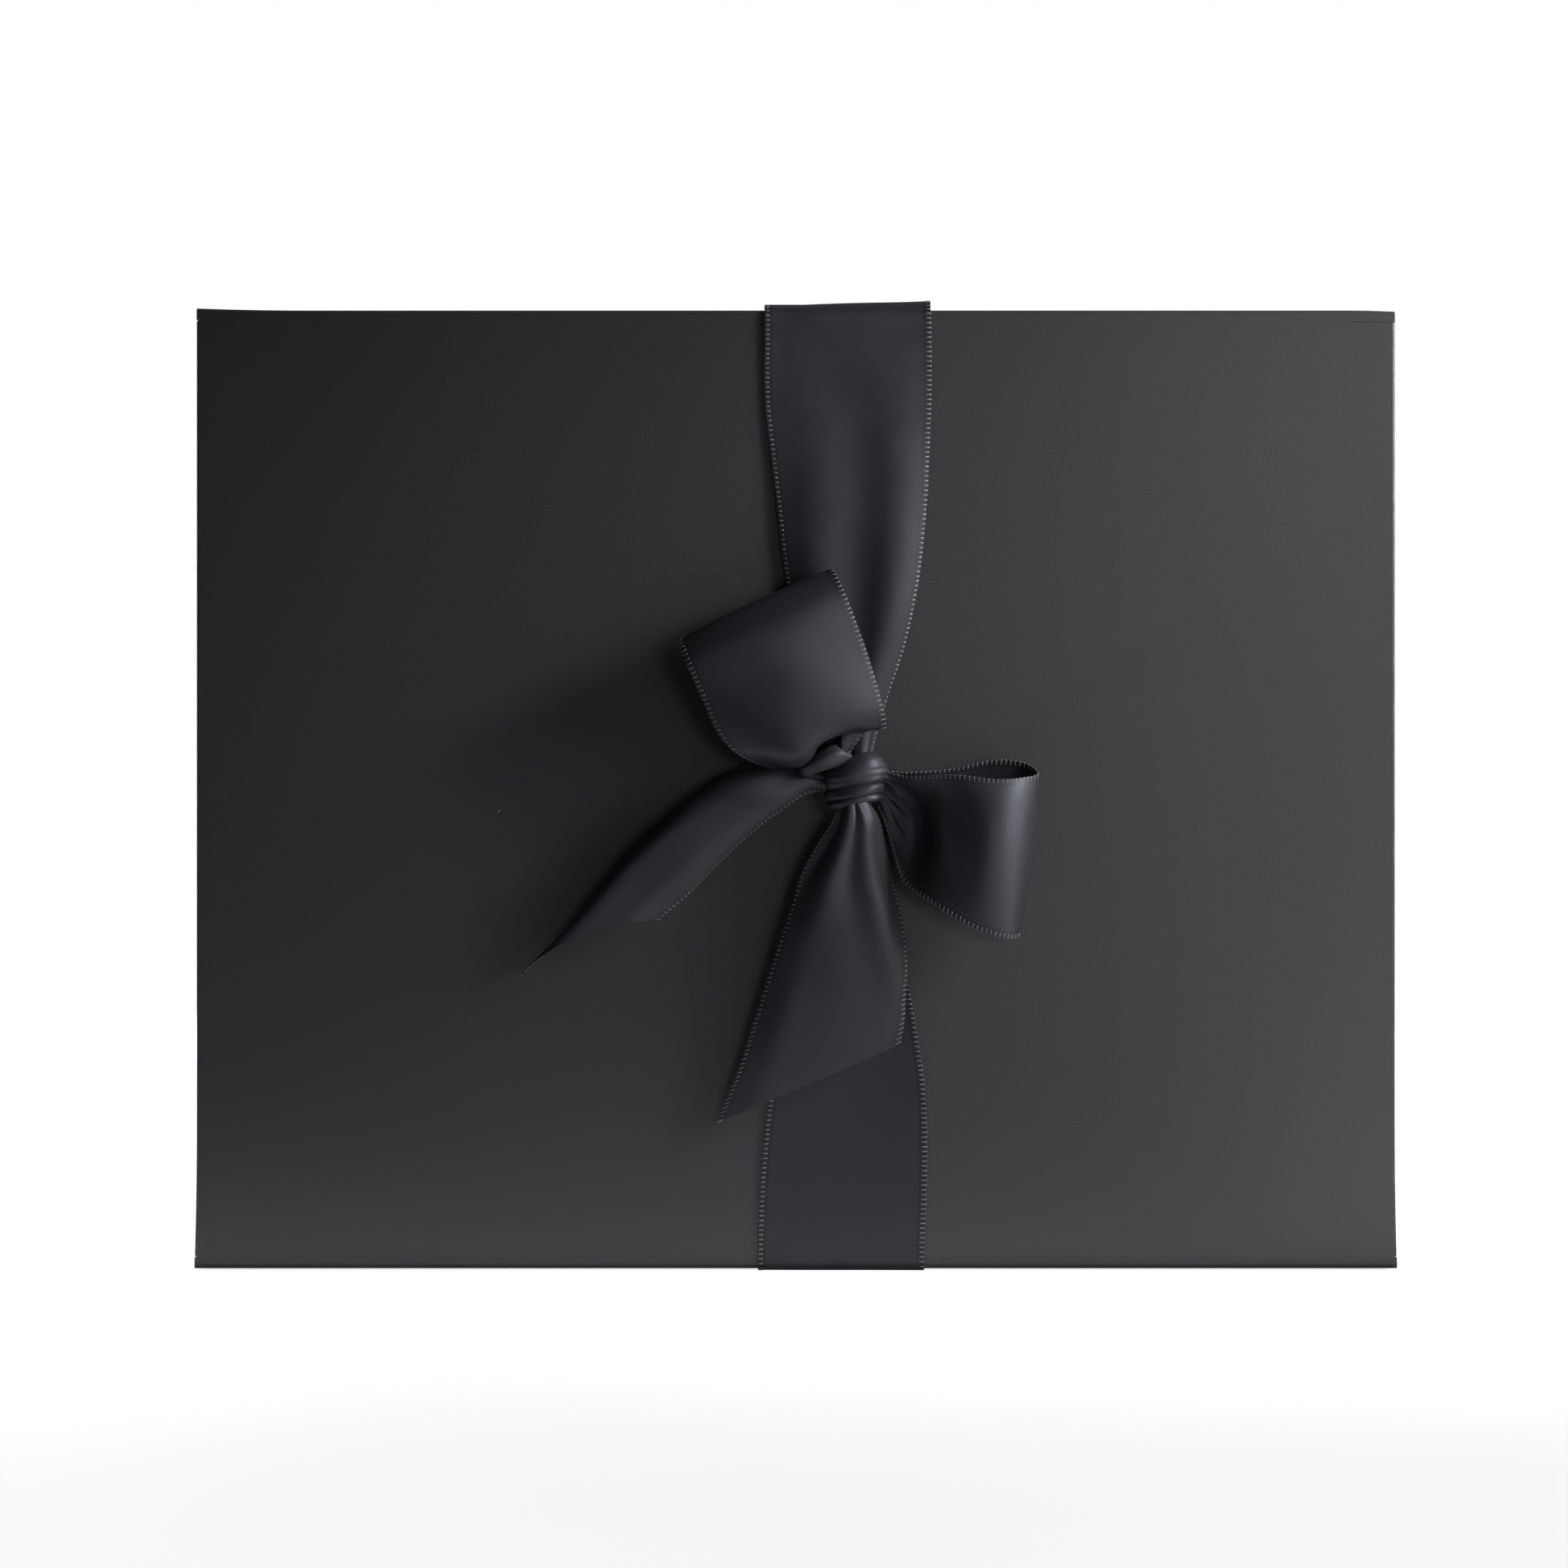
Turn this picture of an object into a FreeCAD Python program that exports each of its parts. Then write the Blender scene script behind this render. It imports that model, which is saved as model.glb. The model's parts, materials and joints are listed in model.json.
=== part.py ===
import FreeCAD, Part
import math
import os
import re

from FreeCAD import Vector

# A book-style rigid gift box standing on its flap, with its lid towards -Y.
# The cover is four wrapped boards: lid, spine, base and flap. The tray is glued to the base and the spine.
# The lid turns on the fold at the top front edge, and the flap on the fold at the bottom front edge.
# The origin is on the surface the box stands on, under the middle of its width and depth.

doc = FreeCAD.newDocument("gift_box")

# Driving dimensions in millimetres
dimensions = [
    ("box_width", 275.0, "cover panels, left to right"),
    ("box_height", 220.0, "flap's outer face to spine's outer face"),
    ("box_depth", 100.0, "lid's outer face to base's outer face"),
    ("board", 2.0, "grey board thickness"),
    ("paper", 0.2, "cover and lining paper thickness"),
    ("tape", 0.15, "corner tape thickness"),
    ("tape_reach", 12.0, "corner tape width on each wall"),
    ("turn_in", 15.0, "cover paper turned in over a panel's edge"),
    ("side_overhang", 1.5, "cover panels past the tray's sides"),
    ("rim_gap", 0.3, "tray to lid, and tray to flap"),
    ("fold_gap", 0.3, "fold to the panel ends beside it"),
    ("flap_edge_gap", 1.5, "flap's free edge to the base panel"),
    ("magnet_diameter", 15.0, "flap magnets and catch plates"),
    ("magnet_spacing", 160.0, "between the two magnets"),
    ("magnet_edge", 18.0, "magnet centre to the flap's free edge"),
    ("plate_thickness", 1.0, "steel catch plate"),
    ("seat_clearance", 0.1, "round a magnet or a plate in its board"),
    ("ribbon_width", 38.0, "satin ribbon"),
    ("ribbon_thickness", 0.4, "satin ribbon"),
    ("ribbon_top_offset", 11.9, "ribbon's middle at the top, right of the box's middle"),
    ("ribbon_bottom_offset", 10.4, "ribbon's middle at the bottom, right of the box's middle"),
    ("ribbon_slack", 1.6, "ribbon over the top front edge, above the spine"),
    ("ribbon_bend", 4.0, "inner radius of the ribbon over the top front edge"),
    ("ribbon_lift", 0.4, "ribbon in front of the lid at the top front edge"),
    ("slack_run", 30.0, "length over which the ribbon comes down to the spine"),
    ("ribbon_reach", 2.4, "ribbon spans start this far from a fold's axis"),
    ("ribbon_ease", 0.06, "ribbon to a fold that it goes round"),
    ("ribbon_joint", 0.2, "between one stretch of ribbon and the next"),
    ("knot_offset", 13.3, "knot right of the box's middle"),
    ("knot_height", 111.4, "knot above the flap's outer face"),
    ("knot_out", 7.6, "knot's middle in front of the lid"),
    ("knot_width", 14.6, "knot, left to right"),
    ("knot_thickness", 11.4, "knot, front to back"),
]
names = {alias for alias, value, meaning in dimensions}
sheet = doc.addObject("Spreadsheet::Sheet", "sizes")
for row, (alias, value, meaning) in enumerate(dimensions, start=1):
    sheet.set(f"A{row}", meaning)
    sheet.set(f"B{row}", str(value))
    sheet.setAlias(f"B{row}", alias)
doc.recompute()

# Places worked out from the driving dimensions, as formulas
panel = "(board + 2 * paper)"
half_width = "(box_width / 2)"
front = "(-box_depth / 2)"
back = "(box_depth / 2)"
bottom = "(ribbon_thickness + ribbon_ease)"
top = f"({bottom} + box_height)"
fold_radius = f"({panel} / 2)"
panel_reach = f"({fold_radius} + fold_gap)"
fold_front = f"({front} + {fold_radius})"
fold_back = f"({back} - {fold_radius})"
fold_top = f"({top} - {fold_radius})"
fold_bottom = f"({bottom} + {fold_radius})"
flap_end = f"({back} - {panel} - flap_edge_gap)"

# The tray's outer faces, then its boards inside the cover paper and the corner tapes
tray_half = f"({half_width} - side_overhang)"
tray_rim = f"({front} + {panel} + rim_gap)"
tray_back = f"({back} - {panel})"
tray_low = f"({bottom} + {panel} + rim_gap)"
tray_high = f"({top} - {panel})"
skin = "(paper + tape)"
wall_half = f"({tray_half} - {skin})"
wall_rim = f"({tray_rim} + paper)"
wall_back = f"({tray_back} - paper)"
wall_low = f"({tray_low} + {skin})"
wall_high = f"({tray_high} - {skin})"
inner_half = f"({wall_half} - board)"
inner_low = f"({wall_low} + board)"
inner_high = f"({wall_high} - board)"
floor_face = f"({wall_back} - board)"
magnet_row = f"({flap_end} - magnet_edge)"


def bound(formula):
    """The formula with each size's name led by the sheet's name."""
    return re.sub(r"[a-z_]+", lambda m: f"sizes.{m[0]}" if m[0] in names else m[0], formula)


def size(formula):
    """The formula's value, for solids drawn point by point."""
    return float(sheet.evalExpression(bound(formula)))


def bind(thing, **formulas):
    """Tie the object's properties to the sheet."""
    for name, formula in formulas.items():
        thing.setExpression(name.replace("__", "."), bound(formula))
    return thing


def block(label, across, deep, high):
    """A box between two formulas on each axis."""
    box = doc.addObject("Part::Box", label)
    box.Label = label
    spans = dict(zip(("Length", "Width", "Height"), (across, deep, high)))
    bind(box, **{name: f"{end} - {start}" for name, (start, end) in spans.items()})
    return bind(box, Placement__Base__x=across[0], Placement__Base__y=deep[0], Placement__Base__z=high[0])


def disc(label, radius, thickness, place):
    """An upright cylinder on a place given by three formulas."""
    cylinder = doc.addObject("Part::Cylinder", label)
    cylinder.Label = label
    bind(cylinder, Radius=radius, Height=thickness)
    across, deep, high = place
    return bind(cylinder, Placement__Base__x=across, Placement__Base__y=deep, Placement__Base__z=high)


def cut(label, base, *tools):
    """The base with each tool taken out of it."""
    for number, tool in enumerate(tools):
        result = doc.addObject("Part::Cut", f"{label}_cut_{number}")
        result.Base = base
        result.Tool = tool
        base = result
    base.Label = label
    return base


def group(label, *shapes):
    """Separate solids that share one node."""
    compound = doc.addObject("Part::Compound", label)
    compound.Label = label
    compound.Links = list(shapes)
    return compound


def mirrored_pair(formula):
    """The same distance left and right of the box's middle."""
    return (f"(-{formula})", formula)


parts = []


def keep(*shapes):
    """List finished sub-parts for writing."""
    parts.extend(shapes)


# Cover panels: a board, and its cover paper turned in round a window on the inner face
def wrapped_panel(name, across, deep, high, inner_face):
    """A board and its wrap in the given outer box; inner_face names the side with the window."""
    spans = [across, deep, high]
    boards = [(f"({start} + paper)", f"({end} - paper)") for start, end in spans]
    windows = [(f"({start} + turn_in)", f"({end} - turn_in)") for start, end in spans]
    axis = "xyz".index(inner_face[1])
    start, end = spans[axis]
    windows[axis] = (f"({end} - paper)", end) if inner_face[0] == "+" else (start, f"({start} + paper)")
    board = block(f"{name}_board", *boards)
    shell = block(f"{name}_shell", *spans)
    hollow = block(f"{name}_hollow", *boards)
    window = block(f"{name}_window", *windows)
    wrap = cut(f"{name}_wrap", shell, hollow, window)
    return board, wrap, windows


# The lid and the flap have a lining in the window. The spine and the base are glued to the tray.
cover_across = mirrored_pair(half_width)
lid_high = (f"({fold_bottom} + {panel_reach})", f"({fold_top} - {panel_reach})")
lid_deep = (front, f"({front} + {panel})")
lid_board, lid_wrap, lid_window = wrapped_panel("lid", cover_across, lid_deep, lid_high, "+y")
lid_liner = block("lid_liner", *lid_window)
keep(lid_board, lid_wrap, lid_liner)

spine_deep = (f"({fold_front} + {panel_reach})", f"({fold_back} - {panel_reach})")
spine_high = (f"({top} - {panel})", top)
keep(*wrapped_panel("spine", cover_across, spine_deep, spine_high, "-z")[:2])

base_deep = (f"({back} - {panel})", back)
base_high = (bottom, f"({fold_top} - {panel_reach})")
keep(*wrapped_panel("base", cover_across, base_deep, base_high, "-y")[:2])

flap_deep = (f"({fold_front} + {panel_reach})", flap_end)
flap_high = (bottom, f"({bottom} + {panel})")
flap_board, flap_wrap, flap_window = wrapped_panel("flap", cover_across, flap_deep, flap_high, "+z")
flap_liner = block("flap_liner", *flap_window)
keep(flap_wrap, flap_liner)

# Magnets fill round holes through the flap's board; the catch plates face them in the tray's lower wall
seat_radius = "(magnet_diameter / 2 + seat_clearance)"
magnet_sides = dict(zip(("left", "right"), mirrored_pair("(magnet_spacing / 2)")))
magnets = []
magnet_seats = []
plates = []
plate_seats = []
for side, middle in magnet_sides.items():
    magnet_foot = (middle, magnet_row, f"({bottom} + paper + seat_clearance)")
    magnet_thickness = "(board - 2 * seat_clearance)"
    magnets.append(disc(f"{side}_magnet", "magnet_diameter / 2", magnet_thickness, magnet_foot))
    magnet_seats.append(disc(f"{side}_magnet_seat", seat_radius, panel, (middle, magnet_row, bottom)))
    plate_foot = (middle, magnet_row, wall_low)
    plates.append(disc(f"{side}_plate", "magnet_diameter / 2", "plate_thickness", plate_foot))
    plate_depth = "(plate_thickness + seat_clearance)"
    plate_seats.append(disc(f"{side}_plate_seat", seat_radius, plate_depth, plate_foot))
flap_blank = flap_board
flap_blank.Label = "flap_blank"
keep(cut("flap_board", flap_blank, *magnet_seats))
keep(group("flap_magnets", *magnets), group("catch_plates", *plates))

# Tray boards: long walls above and below, short walls between them, the floor inside all four
wall_deep = (wall_rim, wall_back)
wall_across = mirrored_pair(wall_half)
inner_across = mirrored_pair(inner_half)
inner_upright = (inner_low, inner_high)
keep(block("tray_top_wall", wall_across, wall_deep, (inner_high, wall_high)))
lower_wall_blank = block("lower_wall_blank", wall_across, wall_deep, (wall_low, inner_low))
keep(cut("tray_bottom_wall", lower_wall_blank, *plate_seats))
keep(block("tray_left_wall", (f"(-{wall_half})", f"(-{inner_half})"), wall_deep, inner_upright))
keep(block("tray_right_wall", (inner_half, wall_half), wall_deep, inner_upright))
keep(block("tray_floor", inner_across, (floor_face, wall_back), inner_upright))

# A strip of tape folded round each outer corner of the walls: an outer square less the walls' corner
tape_across = {
    "left": ((f"(-{wall_half} - tape)", f"(-{wall_half} + tape_reach)"),
             (f"(-{wall_half})", f"(-{wall_half} + tape_reach)")),
    "right": ((f"({wall_half} - tape_reach)", f"({wall_half} + tape)"),
              (f"({wall_half} - tape_reach)", wall_half)),
}
tape_upright = {
    "low": ((f"({wall_low} - tape)", f"({wall_low} + tape_reach)"),
            (wall_low, f"({wall_low} + tape_reach)")),
    "high": ((f"({wall_high} - tape_reach)", f"({wall_high} + tape)"),
             (f"({wall_high} - tape_reach)", wall_high)),
}
tapes = []
for side, (square_across, corner_across) in tape_across.items():
    for level, (square_upright, corner_upright) in tape_upright.items():
        square = block(f"{side}_{level}_square", square_across, wall_deep, square_upright)
        corner = block(f"{side}_{level}_corner", corner_across, wall_deep, corner_upright)
        tapes.append(cut(f"{side}_{level}_tape", square, corner))
keep(group("tray_corner_tapes", *tapes))

# The tray's cover paper runs up the walls, over the rim, down the inside and in under the floor
tray_block = block("tray_block", mirrored_pair(tray_half), (tray_rim, tray_back), (tray_low, tray_high))
bare_across = mirrored_pair(f"({inner_half} - paper)")
bare_upright = (f"({inner_low} + paper)", f"({inner_high} - paper)")
taped_across = mirrored_pair(f"({wall_half} + tape)")
taped_upright = (f"({wall_low} - tape)", f"({wall_high} + tape)")
tray_space = block("tray_space", bare_across, (tray_rim, floor_face), bare_upright)
wall_outside = block("wall_outside", taped_across, wall_deep, taped_upright)
wall_inside = block("wall_inside", inner_across, (wall_rim, floor_face), inner_upright)
wall_ring = cut("wall_ring", wall_outside, wall_inside)
under_across = mirrored_pair(f"({tray_half} - turn_in)")
under_upright = (f"({tray_low} + turn_in)", f"({tray_high} - turn_in)")
under_window = block("under_window", under_across, (wall_back, tray_back), under_upright)
keep(cut("tray_wrap", tray_block, tray_space, wall_ring, under_window))
keep(block("tray_lining", bare_across, (f"({floor_face} - paper)", floor_face), bare_upright))


# Folds: the cover paper and its lining strip, rolled round each fold's axis
def fold(label, deep, high):
    """A paper roll along the box's width, as thick as a panel."""
    tubes = []
    for name, radius in (("outside", fold_radius), ("inside", f"({fold_radius} - 2 * paper)")):
        tube = doc.addObject("Part::Cylinder", f"{label}_{name}")
        bind(tube, Radius=radius, Height="box_width")
        tube.Placement.Rotation = FreeCAD.Rotation(Vector(0, 1, 0), 90)
        bind(tube, Placement__Base__x=cover_across[0], Placement__Base__y=deep, Placement__Base__z=high)
        tubes.append(tube)
    return cut(label, *tubes)


keep(fold("lid_hinge_fold", fold_front, fold_top))
keep(fold("flap_hinge_fold", fold_front, fold_bottom))
keep(fold("base_fold", fold_back, fold_top))

doc.recompute()


# Ribbon: strips ruled between cross-sections
band = size("ribbon_width")
half_ribbon = size("ribbon_thickness") / 2


def normals(lefts, rights):
    """The direction square to a strip at each pair of points on its two edges."""
    centres = [(left + right) / 2 for left, right in zip(lefts, rights)]
    ahead = centres[1:] + centres[-1:]
    behind = centres[:1] + centres[:-1]
    pairs = zip(lefts, rights, ahead, behind)
    return [(right - left).cross(after - before).normalize() for left, right, after, before in pairs]


def arched(lefts, rights, rises):
    """Middles that stand off the line between two edges by a rise in ribbon widths."""
    pairs = zip(lefts, rights, normals(lefts, rights), rises)
    return [(left + right) / 2 + square * rise * band for left, right, square, rise in pairs]


def straight_section(left, right, square):
    """The four edges of a flat strip's cross-section."""
    lift = square * half_ribbon
    corners = [left + lift, right + lift, right - lift, left - lift]
    return [Part.LineSegment(*pair).toShape() for pair in zip(corners, corners[1:] + corners[:1])]


def arched_section(left, right, middle):
    """The four edges of a cross-section bowed through its middle, as thick there as at its edges."""
    centre = Part.ArcOfCircle(left, middle, right).Center
    outer = [point + (point - centre).normalize() * half_ribbon for point in (left, middle, right)]
    inner = [point - (point - centre).normalize() * half_ribbon for point in (right, middle, left)]
    curves = [
        Part.ArcOfCircle(*outer), Part.LineSegment(outer[-1], inner[0]),
        Part.ArcOfCircle(*inner), Part.LineSegment(inner[-1], outer[0]),
    ]
    return [curve.toShape() for curve in curves]


def flat_face(start, end):
    """The flat face between two straight edges."""
    corners = [vertex.Point for vertex in start.Vertexes + end.Vertexes[::-1]]
    return Part.Face(Part.makePolygon(corners + corners[:1]))


def curved_face(start, end):
    """The ruled face between two edges, from start to start and from end to end."""
    same_direction = 1
    return Part.makeRuledSurface(start, end, same_direction)


def strip(label, lefts, rights, middles=None):
    """A closed strip between two edges, ruled from one cross-section to the next."""
    if middles:
        sections = [arched_section(*points) for points in zip(lefts, rights, middles)]
        between = curved_face
    else:
        sections = [straight_section(*points) for points in zip(lefts, rights, normals(lefts, rights))]
        between = flat_face
    faces = [Part.Face(Part.Wire(section)) for section in (sections[0], sections[-1])]
    for here, there in zip(sections, sections[1:]):
        faces += [between(start, end) for start, end in zip(here, there)]
    shell = Part.Shell(faces)
    shell.sewShape()
    solid = Part.Solid(shell)
    if solid.Volume < 0:
        solid.reverse()
    feature = doc.addObject("Part::Feature", label)
    feature.Label = label
    feature.Shape = solid
    feature.Placement = FreeCAD.Placement()
    keep(feature)


def ribbon_run(label, route):
    """A flat strip square to the box's sides; the route gives its middle's x, y and z."""
    lefts = [Vector(x - band / 2, y, z) for x, y, z in route]
    rights = [Vector(x + band / 2, y, z) for x, y, z in route]
    strip(label, lefts, rights)


def arc(middle_y, middle_z, radius, *degrees):
    """Points at the given angles round a middle, in the plane across the box's width."""
    turns = [math.radians(angle) for angle in degrees]
    return [(middle_y + radius * math.cos(turn), middle_z + radius * math.sin(turn)) for turn in turns]


ribbon_top_x = size("ribbon_top_offset")
ribbon_bottom_x = size("ribbon_bottom_offset")
front_y = size(front)
back_y = size(back)
top_z = size(top)
bend_inner = size("ribbon_bend")
slack = size("ribbon_slack")
lifted_y = front_y - size("ribbon_lift")
bend_y = lifted_y + bend_inner
bend_z = top_z + slack - bend_inner

# Over the top front edge the ribbon turns through a quarter circle that stands clear of the fold
upper_start = size(f"{fold_top} - ribbon_reach")
joint = size("ribbon_joint")
bend_points = arc(bend_y, bend_z, bend_inner + half_ribbon, 180, 160, 140, 120, 105, 90)
bend_points.insert(0, (lifted_y - half_ribbon, upper_start + joint))
ribbon_run("ribbon_top_bend", [(ribbon_top_x, y, z) for y, z in bend_points])

# From there it comes down to the spine, then goes round the fold at the back and down to the base's edge
fold_back_y = size(fold_back)
slack_shares = [(0.0, 1.0), (0.35, 0.6), (0.7, 0.15), (1.0, 0.0)]
top_route = [
    (ribbon_top_x, bend_y + joint + along * size("slack_run"), top_z + half_ribbon + up * slack)
    for along, up in slack_shares
]
top_route.append((ribbon_top_x, fold_back_y - joint, top_z + half_ribbon))
ribbon_run("ribbon_top", top_route)

fold_top_z = size(fold_top)
corner_radius = size(fold_radius) + size("ribbon_ease") + half_ribbon
corner_points = arc(fold_back_y, fold_top_z, corner_radius, 90, 60, 30, 0)
back_route = [(ribbon_top_x, y, z) for y, z in corner_points]
back_route.append((ribbon_top_x, back_y + half_ribbon, upper_start))
back_route.append((ribbon_bottom_x, back_y + half_ribbon, 0.0))
ribbon_run("ribbon_back", back_route)
lip_across = [f"(ribbon_bottom_offset {sign} ribbon_width / 2)" for sign in "-+"]
under_deep = (f"({fold_front} + ribbon_reach)", flap_end)
keep(block("ribbon_under", lip_across, under_deep, ("0", "ribbon_thickness")))
keep(block("ribbon_tuck", lip_across, base_deep, ("0", "ribbon_thickness")))

# Under the bottom front edge it follows the fold closely
fold_front_y = size(fold_front)
fold_bottom_z = size(fold_bottom)
lower_end = size(f"{fold_bottom} + ribbon_reach")
turn_points = [(front_y - half_ribbon, lower_end - joint)]
turn_points += arc(fold_front_y, fold_bottom_z, corner_radius, 180, 210, 240, 270)
turn_points.append((size(under_deep[0]) - joint, half_ribbon))
ribbon_run("ribbon_bottom_turn", [(ribbon_bottom_x, y, z) for y, z in turn_points])

# The bow's points are given in ribbon widths, so the whole bow follows the ribbon
knot_x = size("knot_offset")
knot_z = size(f"{bottom} + knot_height")


def near_knot(right, above, out):
    """A point right of the knot and out from the flat ribbon in ribbon widths, and above the knot in mm."""
    return Vector(knot_x + right * band, front_y - half_ribbon - out * band, knot_z + above)


def rail(*points):
    """One edge of a bow strip; each point is right of the knot, above it and out from the flat ribbon."""
    return [near_knot(right, above * band, out) for right, above, out in points]


def span_rail(end, *points):
    """One edge of a span from its end at a fold to the knot; each second number is a share of that rise."""
    rise = end.z - knot_z
    return [end] + [near_knot(right, share * rise, out) for right, share, out in points]


upper_left = span_rail(
    Vector(ribbon_top_x - band / 2, lifted_y - half_ribbon, upper_start),
    (-0.526, 0.843, 0.001), (-0.500, 0.718, 0.003), (-0.463, 0.611, 0.008), (-0.403, 0.436, 0.016),
    (-0.324, 0.310, 0.021), (-0.237, 0.204, 0.029), (-0.132, 0.086, 0.058), (-0.105, 0.038, 0.089),
)
upper_right = span_rail(
    Vector(ribbon_top_x + band / 2, lifted_y - half_ribbon, upper_start),
    (0.461, 0.843, 0.001), (0.450, 0.718, 0.003), (0.437, 0.611, 0.008), (0.382, 0.436, 0.016),
    (0.308, 0.310, 0.021), (0.211, 0.204, 0.029), (0.116, 0.086, 0.058), (0.095, 0.038, 0.089),
)
upper_rises = (0.001, 0.008, 0.011, 0.013, 0.018, 0.024, 0.026, 0.021, 0.013)
strip("ribbon_upper_span", upper_right, upper_left, arched(upper_right, upper_left, upper_rises))

lower_left = span_rail(
    Vector(ribbon_bottom_x - band / 2, front_y - half_ribbon, lower_end),
    (-0.563, 0.853, 0.001), (-0.511, 0.668, 0.003), (-0.434, 0.510, 0.008), (-0.342, 0.353, 0.016),
    (-0.237, 0.204, 0.029), (-0.132, 0.083, 0.058), (-0.105, 0.037, 0.089),
)
lower_right = span_rail(
    Vector(ribbon_bottom_x + band / 2, front_y - half_ribbon, lower_end),
    (0.437, 0.853, 0.001), (0.429, 0.668, 0.003), (0.368, 0.510, 0.008), (0.284, 0.353, 0.016),
    (0.197, 0.204, 0.029), (0.116, 0.083, 0.058), (0.095, 0.037, 0.089),
)
lower_rises = (0.001, 0.008, 0.011, 0.016, 0.021, 0.026, 0.021, 0.013)
strip("ribbon_lower_span", lower_left, lower_right, arched(lower_left, lower_right, lower_rises))

# The upper loop spreads out of the knot, bulges forward, turns back along its top and returns behind
upper_loop_left = rail(
    (-0.158, 0.095, 0.232), (-0.447, 0.095, 0.271), (-0.645, 0.147, 0.337), (-0.795, 0.274, 0.379),
    (-0.911, 0.511, 0.379), (-1.016, 0.753, 0.311), (-1.050, 0.847, 0.226), (-1.021, 0.805, 0.158),
    (-0.737, 0.500, 0.137), (-0.316, 0.226, 0.158), (-0.121, 0.105, 0.174),
)
upper_loop_right = rail(
    (-0.026, 0.137, 0.232), (0.105, 0.216, 0.284), (0.192, 0.300, 0.368), (0.153, 0.500, 0.432),
    (0.068, 0.789, 0.426), (-0.068, 1.147, 0.332), (-0.132, 1.279, 0.237), (-0.116, 1.226, 0.168),
    (-0.079, 0.789, 0.147), (-0.026, 0.316, 0.158), (-0.016, 0.132, 0.174),
)
upper_loop_rises = (0.016, 0.042, 0.063, 0.074, 0.058, 0.037, 0.021, 0.011, 0.008, 0.008, 0.005)
strip("bow_upper_loop", upper_loop_left, upper_loop_right,
      arched(upper_loop_left, upper_loop_right, upper_loop_rises))

# The right loop does the same to the side, with its back edge standing above its front edge
right_loop_top = rail(
    (0.158, 0.011, 0.242), (0.237, 0.0, 0.263), (0.368, 0.037, 0.300), (0.579, 0.050, 0.347),
    (0.834, 0.024, 0.368), (1.013, 0.034, 0.326), (1.103, 0.063, 0.232), (1.042, 0.116, 0.153),
    (0.868, 0.139, 0.111), (0.579, 0.068, 0.095), (0.289, 0.021, 0.121), (0.163, 0.005, 0.147),
)
right_loop_bottom = rail(
    (0.158, -0.095, 0.221), (0.211, -0.342, 0.195), (0.289, -0.579, 0.221), (0.487, -0.726, 0.284),
    (0.724, -0.868, 0.337), (0.911, -0.926, 0.321), (0.984, -0.918, 0.232), (0.942, -0.874, 0.158),
    (0.763, -0.784, 0.105), (0.474, -0.553, 0.084), (0.263, -0.263, 0.105), (0.168, -0.079, 0.147),
)
right_loop_rises = (0.011, 0.026, 0.042, 0.047, 0.042, 0.026, 0.021, 0.011, 0.008, 0.008, 0.008, 0.005)
strip("bow_right_loop", right_loop_top, right_loop_bottom,
      arched(right_loop_top, right_loop_bottom, right_loop_rises))

# The left tail is curled over lengthwise, so its middle is the outline that shows and one edge is behind it
left_tail_front = rail(
    (-0.168, -0.058, 0.226), (-0.289, -0.063, 0.279), (-0.442, -0.166, 0.311), (-0.618, -0.318, 0.326),
    (-0.800, -0.471, 0.326), (-0.976, -0.647, 0.311), (-1.079, -0.734, 0.295), (-1.121, -0.774, 0.289),
    (-1.166, -0.813, 0.279),
)
left_tail_ridge = rail(
    (-0.179, 0.016, 0.205), (-0.368, 0.089, 0.195), (-0.658, 0.100, 0.174), (-0.897, -0.039, 0.168),
    (-1.126, -0.216, 0.163), (-1.382, -0.421, 0.153), (-1.553, -0.605, 0.137), (-1.539, -0.692, 0.154),
    (-1.566, -0.884, 0.158),
)
left_tail_back = rail(
    (-0.168, 0.021, 0.153), (-0.289, 0.042, 0.084), (-0.474, 0.011, 0.037), (-0.684, -0.132, 0.026),
    (-0.921, -0.303, 0.021), (-1.224, -0.487, 0.021), (-1.526, -0.684, 0.021), (-1.737, -0.889, 0.018),
    (-1.945, -1.092, 0.026),
)
strip("bow_left_tail", left_tail_front, left_tail_back, left_tail_ridge)

# The centre tail falls from the knot, opens out and is cut aslant
center_tail_left = rail(
    (-0.089, -0.116, 0.268), (-0.137, -0.221, 0.268), (-0.237, -0.382, 0.232), (-0.324, -0.550, 0.205),
    (-0.387, -0.774, 0.179), (-0.489, -1.084, 0.153), (-0.592, -1.411, 0.132), (-0.695, -1.721, 0.116),
    (-0.824, -2.039, 0.089),
)
center_tail_right = rail(
    (0.089, -0.116, 0.258), (0.142, -0.200, 0.242), (0.182, -0.382, 0.211), (0.221, -0.574, 0.195),
    (0.284, -0.803, 0.200), (0.313, -1.058, 0.205), (0.305, -1.263, 0.195), (0.297, -1.434, 0.179),
    (0.274, -1.568, 0.163),
)
center_tail_rises = (0.021, 0.053, 0.084, 0.089, 0.079, 0.063, 0.047, 0.037, 0.026)
strip("bow_center_tail", center_tail_right, center_tail_left,
      arched(center_tail_right, center_tail_left, center_tail_rises))


# The knot: one broad wrap over two narrow folds
def knot_roll(label, above, wide, deep, tall):
    """One rounded turn of ribbon across the knot, in shares of the knot's width and thickness."""
    roll = doc.addObject("Part::Ellipsoid", label)
    bind(roll, Radius2=f"knot_width / 2 * {wide}", Radius3=f"knot_thickness / 2 * {deep}")
    bind(roll, Radius1=f"knot_thickness / 2 * {tall}")
    bind(roll, Placement__Base__x="knot_offset", Placement__Base__y=f"{front} - knot_out")
    return bind(roll, Placement__Base__z=f"{bottom} + knot_height + knot_thickness * ({above})")


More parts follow.
